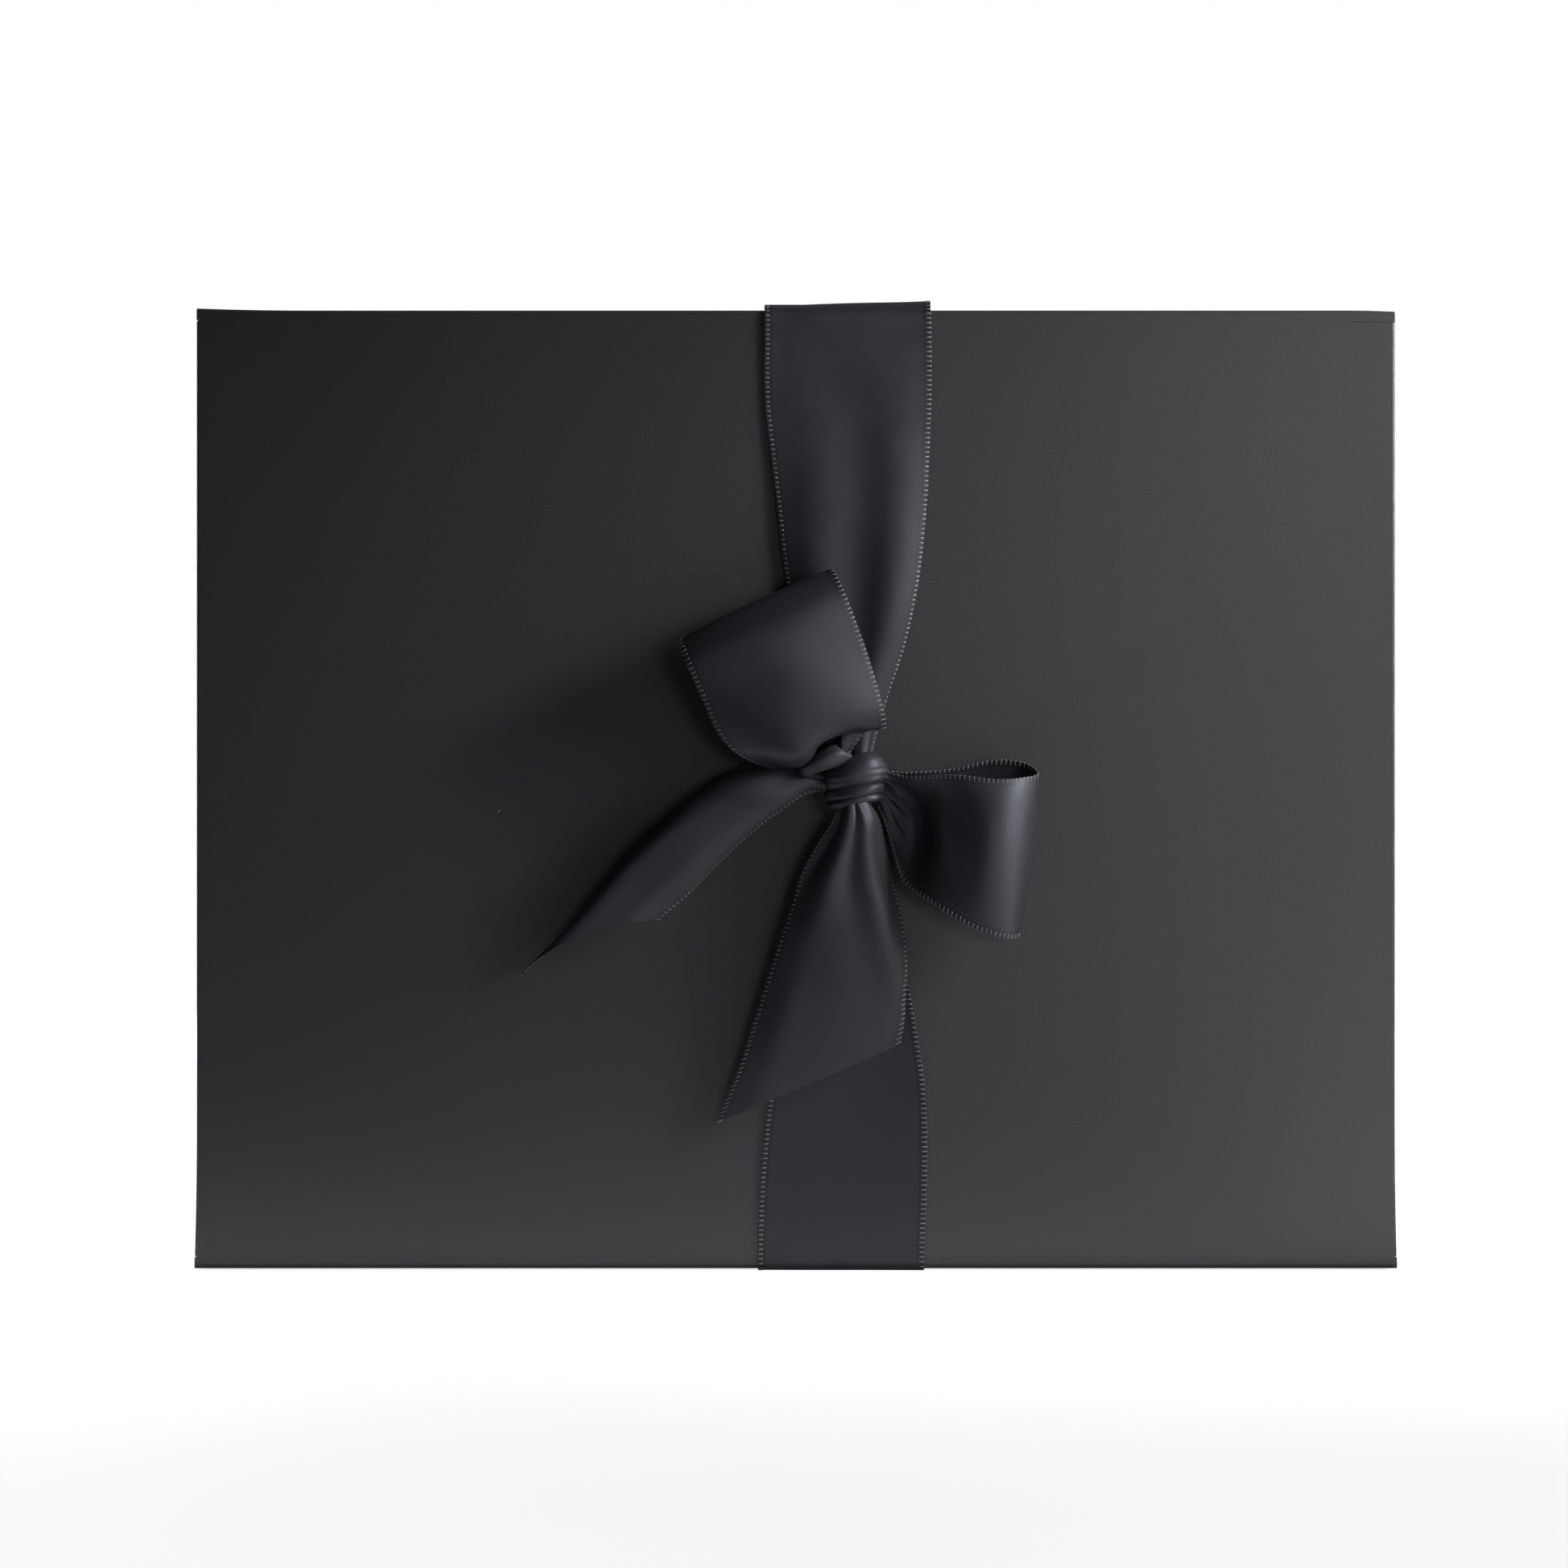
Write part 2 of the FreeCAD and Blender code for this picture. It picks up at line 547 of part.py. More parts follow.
knot_rolls = [
    knot_roll("knot_wrap", above=0.08, wide=1.0, deep=1.0, tall=0.72),
    knot_roll("knot_upper_fold", above=-0.22, wide=0.94, deep=0.94, tall=0.34),
    knot_roll("knot_lower_fold", above=-0.36, wide=0.8, deep=0.86, tall=0.26),
]
bow_knot = doc.addObject("Part::MultiFuse", "bow_knot")
bow_knot.Label = "bow_knot"
bow_knot.Shapes = knot_rolls
keep(bow_knot)

doc.recompute()

for thing in doc.Objects:
    if {"Invalid", "Error"} & set(thing.State):
        raise RuntimeError(f"{thing.Label} failed to build: {thing.State}")
for part in parts:
    if part.Shape.isNull() or not part.Shape.isValid():
        raise RuntimeError(f"{part.Label} has no valid shape")

os.makedirs("parts", exist_ok=True)
for part in parts:
    part.Shape.exportStep(f"parts/{part.Label}.step")
    print(f"{part.Label}: {len(part.Shape.Solids)} solid(s), {part.Shape.Volume:.1f} mm3")
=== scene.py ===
import json
import math

import bmesh
import bpy
import numpy as np
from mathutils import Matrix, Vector, noise


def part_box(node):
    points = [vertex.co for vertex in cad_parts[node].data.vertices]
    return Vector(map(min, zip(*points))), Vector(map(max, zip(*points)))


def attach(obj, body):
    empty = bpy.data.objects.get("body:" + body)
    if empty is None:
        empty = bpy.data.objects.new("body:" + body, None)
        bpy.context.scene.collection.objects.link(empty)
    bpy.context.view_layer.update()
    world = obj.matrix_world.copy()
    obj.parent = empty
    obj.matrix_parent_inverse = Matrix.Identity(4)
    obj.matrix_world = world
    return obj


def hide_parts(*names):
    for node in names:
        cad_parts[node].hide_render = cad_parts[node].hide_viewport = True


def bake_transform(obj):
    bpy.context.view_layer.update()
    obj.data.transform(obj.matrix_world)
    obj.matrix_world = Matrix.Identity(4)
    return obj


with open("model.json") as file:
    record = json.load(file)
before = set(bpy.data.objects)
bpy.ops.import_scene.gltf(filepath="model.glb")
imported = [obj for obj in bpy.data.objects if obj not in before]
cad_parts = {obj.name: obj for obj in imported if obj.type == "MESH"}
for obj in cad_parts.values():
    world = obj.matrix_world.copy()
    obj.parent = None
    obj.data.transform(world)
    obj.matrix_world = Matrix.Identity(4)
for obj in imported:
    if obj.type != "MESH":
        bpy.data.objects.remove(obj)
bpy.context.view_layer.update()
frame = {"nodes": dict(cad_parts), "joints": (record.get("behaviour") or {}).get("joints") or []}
nodes = frame["nodes"]
scene = bpy.context.scene
scene.view_settings.view_transform = "Standard"
bpy.ops.object.select_all(action="DESELECT")
mm = 0.001
print("frame loaded:", len(nodes), "nodes")

# places that several pieces share, from the frame
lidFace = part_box("lid_wrap")[0].y
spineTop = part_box("spine_wrap")[1].z
lidAxis = Vector(next(j for j in frame["joints"] if j["name"] == "lid_hinge")["pos_m"])
flapAxis = Vector(next(j for j in frame["joints"] if j["name"] == "flap_hinge")["pos_m"])
foldRadius = lidAxis.y - lidFace


# camera: square on to the lid, a little left of its middle
photoCamera = {"distance": 1.15, "frameWidth": 0.3598, "aimX": -2.7 * mm, "aimZ": 111.7 * mm, "sensor": 36}


def addCamera(s):
    data = bpy.data.cameras.new("photoCamera")
    data.sensor_width = s["sensor"]
    data.lens = s["sensor"] * s["distance"] / s["frameWidth"]
    camera = bpy.data.objects.new("photoCamera", data)
    camera.location = (s["aimX"], lidFace - s["distance"], s["aimZ"])
    camera.rotation_euler = (math.radians(90), 0, 0)
    scene.collection.objects.link(camera)
    scene.camera = camera


addCamera(photoCamera)
print("camera placed")


# node helpers for the materials
def newMaterial(name, **sockets):
    material = bpy.data.materials.new(name)
    material.use_nodes = True
    shader = material.node_tree.nodes["Principled BSDF"]
    for socket, value in sockets.items():
        shader.inputs[socket.replace("_", " ")].default_value = value
    return material, material.node_tree, shader


def addNode(tree, kind, sockets=None, **settings):
    node = tree.nodes.new(kind)
    for name, value in settings.items():
        setattr(node, name, value)
    for socket, value in (sockets or {}).items():
        if isinstance(value, bpy.types.NodeSocket):
            tree.links.new(value, node.inputs[socket])
        else:
            node.inputs[socket].default_value = value
    return node


def objectPlace(tree):
    return addNode(tree, "ShaderNodeTexCoord").outputs["Object"]


def noiseAt(tree, place, scale, detail=2.0, roughness=0.5):
    sockets = {"Vector": place, "Scale": scale, "Detail": detail, "Roughness": roughness}
    return addNode(tree, "ShaderNodeTexNoise", sockets).outputs["Fac"]


def ramp(tree, value, low, high, outLow=0.0, outHigh=1.0):
    sockets = {"Value": value, "From Min": low, "From Max": high, "To Min": outLow, "To Max": outHigh}
    return addNode(tree, "ShaderNodeMapRange", sockets, interpolation_type="SMOOTHSTEP").outputs["Result"]


def combine(tree, operation, first, second):
    return addNode(tree, "ShaderNodeMath", {0: first, 1: second}, operation=operation).outputs[0]


def blendColour(tree, factor, first, second):
    mix = addNode(tree, "ShaderNodeMix", {"Factor": factor}, data_type="RGBA")
    for socket, value in ((6, first), (7, second)):
        if isinstance(value, bpy.types.NodeSocket):
            tree.links.new(value, mix.inputs[socket])
        else:
            mix.inputs[socket].default_value = (*value, 1)
    return mix.outputs[2]


def addBump(tree, shader, height, strength, distance):
    sockets = {"Height": height, "Strength": strength, "Distance": distance}
    tree.links.new(addNode(tree, "ShaderNodeBump", sockets).outputs["Normal"], shader.inputs["Normal"])


# in a finish, a noise is scale, detail and roughness, a range is what it maps from and to, and a bump is
# strength and height

# black laminated cover paper: fine tooth, faint handling marks, dust and rubbed edges
coverFinish = {
    "ink": (0.0152, 0.0154, 0.0168), "rubbed": (0.034, 0.034, 0.036), "dust": (0.16, 0.16, 0.165),
    "tooth": (2200, 3), "toothRough": (0.3, 0.7, 0, 0.07), "bump": (0.8, 0.06 * mm),
    "handling": (11, 4, 0.6), "handlingRough": (0.3, 0.7, 0.39, 0.43),
    "dustCells": 75, "dustSize": 0.022, "dustChosen": (0.86, 0.9),
    "edge": 137.5 * mm, "rub": 0.7 * mm, "wear": (160, 3), "wearRange": (0.45, 0.65),
}


def makeCoverPaper(s):
    material, tree, shader = newMaterial("blackCoverPaper", Specular_IOR_Level=0.22)
    place = objectPlace(tree)
    tooth = noiseAt(tree, place, *s["tooth"])
    handling = noiseAt(tree, place, *s["handling"])
    cells = addNode(tree, "ShaderNodeTexVoronoi", {"Vector": place, "Scale": s["dustCells"]})
    near = ramp(tree, cells.outputs["Distance"], s["dustSize"], s["dustSize"] / 2)
    draw = addNode(tree, "ShaderNodeSeparateColor", {0: cells.outputs["Color"]}).outputs[0]
    dust = combine(tree, "MULTIPLY", near, ramp(tree, draw, *s["dustChosen"]))
    across = addNode(tree, "ShaderNodeSeparateXYZ", {0: place}).outputs["X"]
    reach = addNode(tree, "ShaderNodeMath", {0: across}, operation="ABSOLUTE").outputs[0]
    edge = ramp(tree, reach, s["edge"] - s["rub"], s["edge"])
    wear = ramp(tree, noiseAt(tree, place, *s["wear"]), *s["wearRange"])
    paper = blendColour(tree, combine(tree, "MULTIPLY", edge, wear), s["ink"], s["rubbed"])
    tree.links.new(blendColour(tree, dust, paper, s["dust"]), shader.inputs["Base Color"])
    handled = ramp(tree, handling, *s["handlingRough"])
    rough = combine(tree, "ADD", handled, ramp(tree, tooth, *s["toothRough"]))
    tree.links.new(rough, shader.inputs["Roughness"])
    addBump(tree, shader, tooth, *s["bump"])
    return material


# plain black lining paper inside, rougher than the cover
liningFinish = {
    "dark": (0.012, 0.012, 0.012), "light": (0.026, 0.026, 0.027),
    "fibre": (900, 5, 0.65), "fibreRange": (0.35, 0.7), "bump": (0.4, 0.05 * mm),
    "cloud": (30, 3), "cloudRough": (0.3, 0.7, 0.7, 0.82),
}


def makeLiningPaper(s):
    material, tree, shader = newMaterial("blackLiningPaper", Specular_IOR_Level=0.35)
    place = objectPlace(tree)
    fibre = noiseAt(tree, place, *s["fibre"])
    cloud = noiseAt(tree, place, *s["cloud"])
    tone = blendColour(tree, ramp(tree, fibre, *s["fibreRange"]), s["dark"], s["light"])
    tree.links.new(tone, shader.inputs["Base Color"])
    tree.links.new(ramp(tree, cloud, *s["cloudRough"]), shader.inputs["Roughness"])
    addBump(tree, shader, fibre, *s["bump"])
    return material


# grey board: recycled pulp with dark flecks
boardFinish = {
    "dark": (0.2, 0.19, 0.17), "light": (0.36, 0.345, 0.32), "fleck": (0.09, 0.085, 0.08),
    "pulp": (420, 6, 0.7), "flecks": (1500, 2), "fleckRange": (0.68, 0.74), "bump": (0.5, 0.08 * mm),
}


def makeGreyBoard(s):
    material, tree, shader = newMaterial("greyBoard", Specular_IOR_Level=0.2, Roughness=0.9)
    place = objectPlace(tree)
    pulp = noiseAt(tree, place, *s["pulp"])
    fleck = ramp(tree, noiseAt(tree, place, *s["flecks"]), *s["fleckRange"])
    tone = blendColour(tree, pulp, s["dark"], s["light"])
    tree.links.new(blendColour(tree, fleck, tone, s["fleck"]), shader.inputs["Base Color"])
    addBump(tree, shader, pulp, *s["bump"])
    return material


# brown gummed paper tape
tapeFinish = {
    "dark": (0.22, 0.13, 0.065), "light": (0.36, 0.23, 0.12),
    "fibre": (700, 5, 0.7), "bump": (0.3, 0.04 * mm),
}


def makeCornerTape(s):
    material, tree, shader = newMaterial("brownPaperTape", Specular_IOR_Level=0.3, Roughness=0.75)
    fibre = noiseAt(tree, objectPlace(tree), *s["fibre"])
    tree.links.new(blendColour(tree, fibre, s["dark"], s["light"]), shader.inputs["Base Color"])
    addBump(tree, shader, fibre, *s["bump"])
    return material


# plated metal for the magnets and the catch plates
metalFinish = {
    "grain": (1300, 4, 0.7), "grainRange": (0.3, 0.7), "darker": 0.8, "roughSpan": 0.07,
    "bump": (0.2, 0.02 * mm),
}


def makeMetal(name, tone, roughness, s):
    material, tree, shader = newMaterial(name, Metallic=1.0)
    grain = noiseAt(tree, objectPlace(tree), *s["grain"])
    darker = tuple(part * s["darker"] for part in tone)
    tree.links.new(blendColour(tree, grain, darker, tone), shader.inputs["Base Color"])
    rough = ramp(tree, grain, *s["grainRange"], roughness - s["roughSpan"], roughness + s["roughSpan"])
    tree.links.new(rough, shader.inputs["Roughness"])
    addBump(tree, shader, grain, *s["bump"])
    return material


# satin: twill lines at a slant, a woven edge band, light that runs along the floats
satinFinish = {
    "dark": (0.006, 0.0063, 0.0076), "light": (0.015, 0.0156, 0.0185), "edgeTone": (0.006, 0.0062, 0.007),
    "sheenTint": (0.75, 0.8, 1, 1), "shineTint": (0.82, 0.88, 1, 1),
    "twill": {"Scale": 44.0, "Distortion": 0.4, "Detail": 1.0, "Detail Scale": 2.0},
    "threads": (150, 2), "threadRange": (0.25, 0.75, 0.5, 1.0),
    "slack": (5.0, 3), "slackRough": (0.3, 0.7, 0.46, 0.55),
    "edgeBand": 0.043, "edgeBlur": 0.003, "bump": (0.2, 0.03 * mm),
}


def makeSatin(s):
    material, tree, shader = newMaterial(
        "charcoalSatin", Specular_IOR_Level=0.17, Anisotropic=0.5, Sheen_Weight=0.01, Sheen_Roughness=0.4,
        Sheen_Tint=s["sheenTint"], Specular_Tint=s["shineTint"],
    )
    weave = addNode(tree, "ShaderNodeUVMap", uv_map="weave").outputs["UV"]
    sockets = {"Vector": weave, **s["twill"]}
    twill = addNode(tree, "ShaderNodeTexWave", sockets, bands_direction="DIAGONAL").outputs["Fac"]
    threads = ramp(tree, noiseAt(tree, weave, *s["threads"]), *s["threadRange"])
    lit = combine(tree, "MULTIPLY", twill, threads)
    across = addNode(tree, "ShaderNodeSeparateXYZ", {0: weave}).outputs["X"]
    fromMiddle = combine(tree, "SUBTRACT", across, 0.5)
    offMiddle = addNode(tree, "ShaderNodeMath", {0: fromMiddle}, operation="ABSOLUTE").outputs[0]
    bandStart = 0.5 - s["edgeBand"]
    band = ramp(tree, offMiddle, bandStart - s["edgeBlur"], bandStart)
    cloth = blendColour(tree, lit, s["dark"], s["light"])
    tree.links.new(blendColour(tree, band, cloth, s["edgeTone"]), shader.inputs["Base Color"])
    rough = ramp(tree, noiseAt(tree, weave, *s["slack"]), *s["slackRough"])
    tree.links.new(rough, shader.inputs["Roughness"])
    tangent = addNode(tree, "ShaderNodeTangent", direction_type="UV_MAP", uv_map="weave").outputs["Tangent"]
    tree.links.new(tangent, shader.inputs["Tangent"])
    addBump(tree, shader, lit, *s["bump"])
    return material


# the edging's thread, lighter than the cloth
threadFinish = {
    "dark": (0.035, 0.037, 0.042), "light": (0.09, 0.094, 0.105), "strand": (2600, 2),
    "strandRough": (0.3, 0.7, 0.4, 0.55), "bump": (0.3, 0.05 * mm),
}


def makeThread(s):
    material, tree, shader = newMaterial("edgingThread", Specular_IOR_Level=0.35, Sheen_Weight=0.05)
    strand = noiseAt(tree, objectPlace(tree), *s["strand"])
    tree.links.new(blendColour(tree, strand, s["dark"], s["light"]), shader.inputs["Base Color"])
    tree.links.new(ramp(tree, strand, *s["strandRough"]), shader.inputs["Roughness"])
    addBump(tree, shader, strand, *s["bump"])
    return material


coverPaper = makeCoverPaper(coverFinish)
liningPaper = makeLiningPaper(liningFinish)
greyBoard = makeGreyBoard(boardFinish)
cornerTape = makeCornerTape(tapeFinish)
platedMagnet = makeMetal("platedMagnet", tone=(0.62, 0.61, 0.58), roughness=0.3, s=metalFinish)
catchSteel = makeMetal("catchSteel", tone=(0.5, 0.5, 0.5), roughness=0.42, s=metalFinish)
satin = makeSatin(satinFinish)
thread = makeThread(threadFinish)
print("materials made")


# a finished piece gets its body, its material and the nodes that it stands for
def dress(piece, material, slot, body, *replaced):
    piece.data.materials.clear()
    piece.data.materials.append(material)
    if body:
        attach(piece, body)
    if replaced:
        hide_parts(*replaced)


def pickOut(piece):
    bpy.ops.object.select_all(action="DESELECT")
    piece.select_set(True)
    bpy.context.view_layer.objects.active = piece


def addBlock(name, low, high):
    bpy.ops.object.select_all(action="DESELECT")
    bpy.ops.mesh.primitive_cube_add(size=1, location=(low + high) / 2, scale=high - low)
    piece = bpy.context.object
    piece.name = name
    bpy.ops.object.transform_apply(location=True, rotation=True, scale=True)
    return piece


facing = 0.9  # least share of a face's normal that looks the wanted way
samePlace = 1e-6
panelSharp = math.radians(40)  # angles from which an edge is shown sharp
sheetSharp = math.radians(50)


# smooth edges, with the large faces kept flat in the light
def flattenFaces(piece):
    pickOut(piece)
    bpy.ops.object.shade_smooth_by_angle(angle=panelSharp)
    weighted = piece.modifiers.new("weighted", "WEIGHTED_NORMAL")
    weighted.keep_sharp = True
    bpy.ops.object.modifier_apply(modifier="weighted")


# the paper has lifted at the lid's top left corner, dropped at its top right and spread at its lower corners
settling = {
    "flare": 0.55 * mm, "flareHigh": 32 * mm, "flareWide": 36 * mm, "deep": 14 * mm,
    "lift": 0.5 * mm, "liftWide": 26 * mm, "drop": 0.3 * mm, "dropWide": 11 * mm, "upper": 20 * mm,
}


def settle(piece, s):
    low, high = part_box("lid_wrap")
    for vertex in piece.data.vertices:
        place = vertex.co
        front = min(1.0, max(0.0, 1 - (place.y - lidFace) / s["deep"]))
        side = 1 if place.x > 0 else -1
        outer = max(0.0, 1 - (high.x - abs(place.x)) / s["flareWide"])
        below = max(0.0, 1 - place.z / s["flareHigh"])
        above = min(1.0, max(0.0, 1 - (spineTop - place.z) / s["upper"]))
        lifted = max(0.0, 1 - (place.x - low.x) / s["liftWide"])
        dropped = max(0.0, 1 - (high.x - place.x) / s["dropWide"])
        place.x += side * s["flare"] * front * outer * below ** 2
        place.z += front * above * (s["lift"] * lifted ** 2 - s["drop"] * dropped ** 2)


# wrapped cover panels: a board's box with eased edges and the paper turned in round the inner face
panels = {
    "lidCover": {"node": "lid_wrap", "body": "lid", "inside": (0, 1, 0), "cuts": 23},
    "spineCover": {"node": "spine_wrap", "body": "tray", "inside": (0, 0, -1), "cuts": 15},
    "baseCover": {"node": "base_wrap", "body": "tray", "inside": (0, -1, 0), "cuts": 7},
    "flapCover": {"node": "flap_wrap", "body": "flap", "inside": (0, 0, 1), "cuts": 7},
}
panelMake = {"turnIn": 15 * mm, "paper": 0.2 * mm, "ease": 0.45 * mm, "easeSteps": 3}


def makePanel(name, s, make):
    low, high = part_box(s["node"])
    piece = addBlock(name, low, high)
    inside = Vector(s["inside"])
    bpy.ops.object.mode_set(mode="EDIT")
    bpy.ops.mesh.select_mode(type="FACE")
    mesh = bmesh.from_edit_mesh(piece.data)
    for face in mesh.faces:
        face.select_set(face.normal.dot(inside) > facing)
    bmesh.update_edit_mesh(piece.data)
    bpy.ops.mesh.inset(thickness=make["turnIn"], use_even_offset=True)
    bpy.ops.transform.translate(value=inside * -make["paper"])  # the window that the lining sheet fills
    bpy.ops.mesh.select_mode(type="EDGE")
    mesh = bmesh.from_edit_mesh(piece.data)
    for edge in mesh.edges:
        middle = (edge.verts[0].co + edge.verts[1].co) / 2
        run = (edge.verts[1].co - edge.verts[0].co).normalized()
        edge.select_set(abs(run.x) < 0.5 and abs(abs(middle.x) - high.x) < samePlace)
    bmesh.update_edit_mesh(piece.data)
    bpy.ops.mesh.bevel(offset=make["ease"], segments=make["easeSteps"], affect="EDGES")
    bpy.ops.mesh.select_all(action="SELECT")
    bpy.ops.mesh.subdivide(number_cuts=s["cuts"])
    bpy.ops.object.mode_set(mode="OBJECT")
    settle(piece, settling)
    flattenFaces(piece)
    dress(piece, coverPaper, "cover_paper", s["body"], s["node"])


for panelName, panelSettings in panels.items():
    makePanel(panelName, panelSettings, panelMake)
print("cover panels made")


# the distance from a line's start at each of its points
def runAlong(line):
    return np.concatenate([[0], np.cumsum(np.linalg.norm(np.diff(line, axis=0), axis=1))])


# a sheet from rows of points: its weave map, its thickness and smooth shading
def makeSheet(name, rows, thickness, width):
    count, across = rows.shape[:2]
    run = runAlong(rows[:, across // 2])
    faces = [
        (j * across + i, j * across + i + 1, (j + 1) * across + i + 1, (j + 1) * across + i)
        for j in range(count - 1) for i in range(across - 1)
    ]
    mesh = bpy.data.meshes.new(name)
    mesh.from_pydata(rows.reshape(-1, 3).tolist(), [], faces)
    weave = mesh.uv_layers.new(name="weave")
    for loop in mesh.loops:
        j, i = divmod(loop.vertex_index, across)
        weave.data[loop.index].uv = (i / (across - 1), run[j] / width)
    piece = bpy.data.objects.new(name, mesh)
    scene.collection.objects.link(piece)
    pickOut(piece)
    wall = piece.modifiers.new("wall", "SOLIDIFY")
    wall.thickness = thickness
    wall.offset = 0
    bpy.ops.object.modifier_apply(modifier="wall")
    bpy.ops.object.shade_smooth_by_angle(angle=sheetSharp)
    return piece


# folds: one sheet of cover paper round each edge, tangent to the panels on both sides
foldMake = {
    "paper": 0.4 * mm, "run": 1.5 * mm, "steps": 10, "stations": 160, "gap": 0.02 * mm, "weave": 38 * mm,
}


def foldRows(axis, startAngle, endAngle, s):
    angles = np.radians(np.linspace(startAngle, endAngle, s["steps"]))
    reach = math.copysign(s["run"] - s["gap"], endAngle - startAngle)
    arc = np.stack([np.cos(angles), np.sin(angles)], axis=1) * (foldRadius - s["paper"] / 2)
    ahead = np.stack([-np.sin(angles), np.cos(angles)], axis=1) * reach
    profile = [arc[0] - ahead[0], *arc, arc[-1] + ahead[-1]]
    low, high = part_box("lid_wrap")
    across = np.linspace(low.x, high.x, s["stations"])
    return np.array([[(x, axis[1] + y, axis[2] + z) for y, z in profile] for x in across])


def makeFold(name, axis, startAngle, endAngle, s):
    piece = makeSheet(name, foldRows(axis, startAngle, endAngle, s), s["paper"], s["weave"])
    settle(piece, settling)
    return piece


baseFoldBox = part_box("base_fold")
baseAxis = (baseFoldBox[0] + baseFoldBox[1]) / 2
lidFold = makeFold("lidFoldPaper", lidAxis, 90, 180, foldMake)
dress(lidFold, coverPaper, "cover_paper", None, "lid_hinge_fold")
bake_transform(lidFold)
flapFold = makeFold("flapFoldPaper", flapAxis, 180, 270, foldMake)
dress(flapFold, coverPaper, "cover_paper", None, "flap_hinge_fold")
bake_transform(flapFold)
baseFold = makeFold("baseFoldPaper", baseAxis, 90, 0, foldMake)
dress(baseFold, coverPaper, "cover_paper", "tray", "base_fold")
print("folds made")


# tray: a block hollowed from the front, rim and corners eased
trayMake = {"wall": 2.55 * mm, "ease": 0.5 * mm, "easeSteps": 3}


def makeTray(s):
    low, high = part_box("tray_wrap")
    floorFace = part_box("tray_lining")[1].y
    piece = addBlock("trayCover", low, high)
    bpy.ops.object.mode_set(mode="EDIT")
    bpy.ops.mesh.select_mode(type="FACE")
    mesh = bmesh.from_edit_mesh(piece.data)
    for face in mesh.faces:
        face.select_set(face.normal.y < -facing)
    bmesh.update_edit_mesh(piece.data)
    bpy.ops.mesh.inset(thickness=s["wall"], use_even_offset=True)
    bpy.ops.mesh.extrude_region_move(TRANSFORM_OT_translate={"value": (0, floorFace - low.y, 0)})
    bpy.ops.mesh.select_all(action="SELECT")
    bpy.ops.mesh.bevel(offset=s["ease"], segments=s["easeSteps"], affect="EDGES")
    bpy.ops.object.mode_set(mode="OBJECT")
    flattenFaces(piece)
    dress(piece, coverPaper, "cover_paper", "tray", "tray_wrap")


makeTray(trayMake)
print("tray made")

# rigid nodes that keep their CAD shape
nodeFinishes = [
    (greyBoard, ["lid_board", "spine_board", "base_board", "flap_board", "tray_floor"]),
    (greyBoard, ["tray_top_wall", "tray_bottom_wall", "tray_left_wall", "tray_right_wall"]),
    (liningPaper, ["lid_liner", "flap_liner", "tray_lining"]),
    (cornerTape, ["tray_corner_tapes"]),
    (platedMagnet, ["flap_magnets"]),
    (catchSteel, ["catch_plates"]),
]
for finish, names in nodeFinishes:
    for name in names:
        nodes[name].data.materials.clear()
        nodes[name].data.materials.append(finish)
print("CAD nodes painted")


# ribbon: strips through listed edge points, gathered where they run into the knot
ribbon = {
    "width": 38 * mm, "thickness": 0.34 * mm, "across": 29, "step": 1.0 * mm,
    "topX": 11.9 * mm, "bottomX": 10.4 * mm, "knotX": 13.3 * mm, "knotZ": 111.86 * mm,
    "unevenness": 0.22 * mm, "unevenScale": 55.0, "seedSlide": 0.37, "fewestRows": 8, "foldEven": 3,
    "finePleat": 0.35, "finePleats": 4.3,
}


def fromKnot(points):
    x, z = ribbon["knotX"], ribbon["knotZ"]
    return [(x + right * mm, lidFace - out * mm, z + above * mm) for right, above, out in points]


def smoothRails(rails, step):
    points = np.array(rails, float)
    middle = points.mean(axis=0)
    gaps = np.linalg.norm(np.diff(middle, axis=0), axis=1)
    knots = np.concatenate([[0], np.cumsum(np.sqrt(gaps))])
    where = np.linspace(0, knots[-1], max(ribbon["fewestRows"], round(gaps.sum() / step)))
    slope = np.gradient(points, knots, axis=1)
    span = np.clip(np.searchsorted(knots, where, side="right") - 1, 0, len(knots) - 2)
    gap = (knots[span + 1] - knots[span])[None, :, None]
    t = ((where - knots[span]) / gap[0, :, 0])[None, :, None]
    return ((2 * t ** 3 - 3 * t ** 2 + 1) * points[:, span] + (t ** 3 - 2 * t ** 2 + t) * gap * slope[:, span]
            + (3 * t ** 2 - 2 * t ** 3) * points[:, span + 1] + (t ** 3 - t ** 2) * gap * slope[:, span + 1])


# round arcs from edge to edge through a middle line
def arcAcross(left, middle, right, count):
    toMiddle = middle - left
    toRight = right - left
    square = np.cross(toMiddle, toRight)
    size = (square ** 2).sum(1, keepdims=True)
    centre = left + (np.cross(square, toMiddle) * (toRight ** 2).sum(1, keepdims=True)
                     + np.cross(toRight, square) * (toMiddle ** 2).sum(1, keepdims=True)) / (2 * size)
    spoke = left - centre
    quarter = np.cross(square / np.sqrt(size), spoke)
    rest = right - centre
    end = np.arctan2((rest * quarter).sum(1), (rest * spoke).sum(1)) % (2 * math.pi)
    angle = end[:, None, None] * np.linspace(0, 1, count)[None, :, None]
    return centre[:, None] + spoke[:, None] * np.cos(angle) + quarter[:, None] * np.sin(angle)


def squareTo(rows):
    along = np.gradient(rows, axis=0)
    across = np.gradient(rows, axis=1)
    square = np.cross(across, along)
    return square / np.maximum(np.linalg.norm(square, axis=2, keepdims=True), 1e-12)


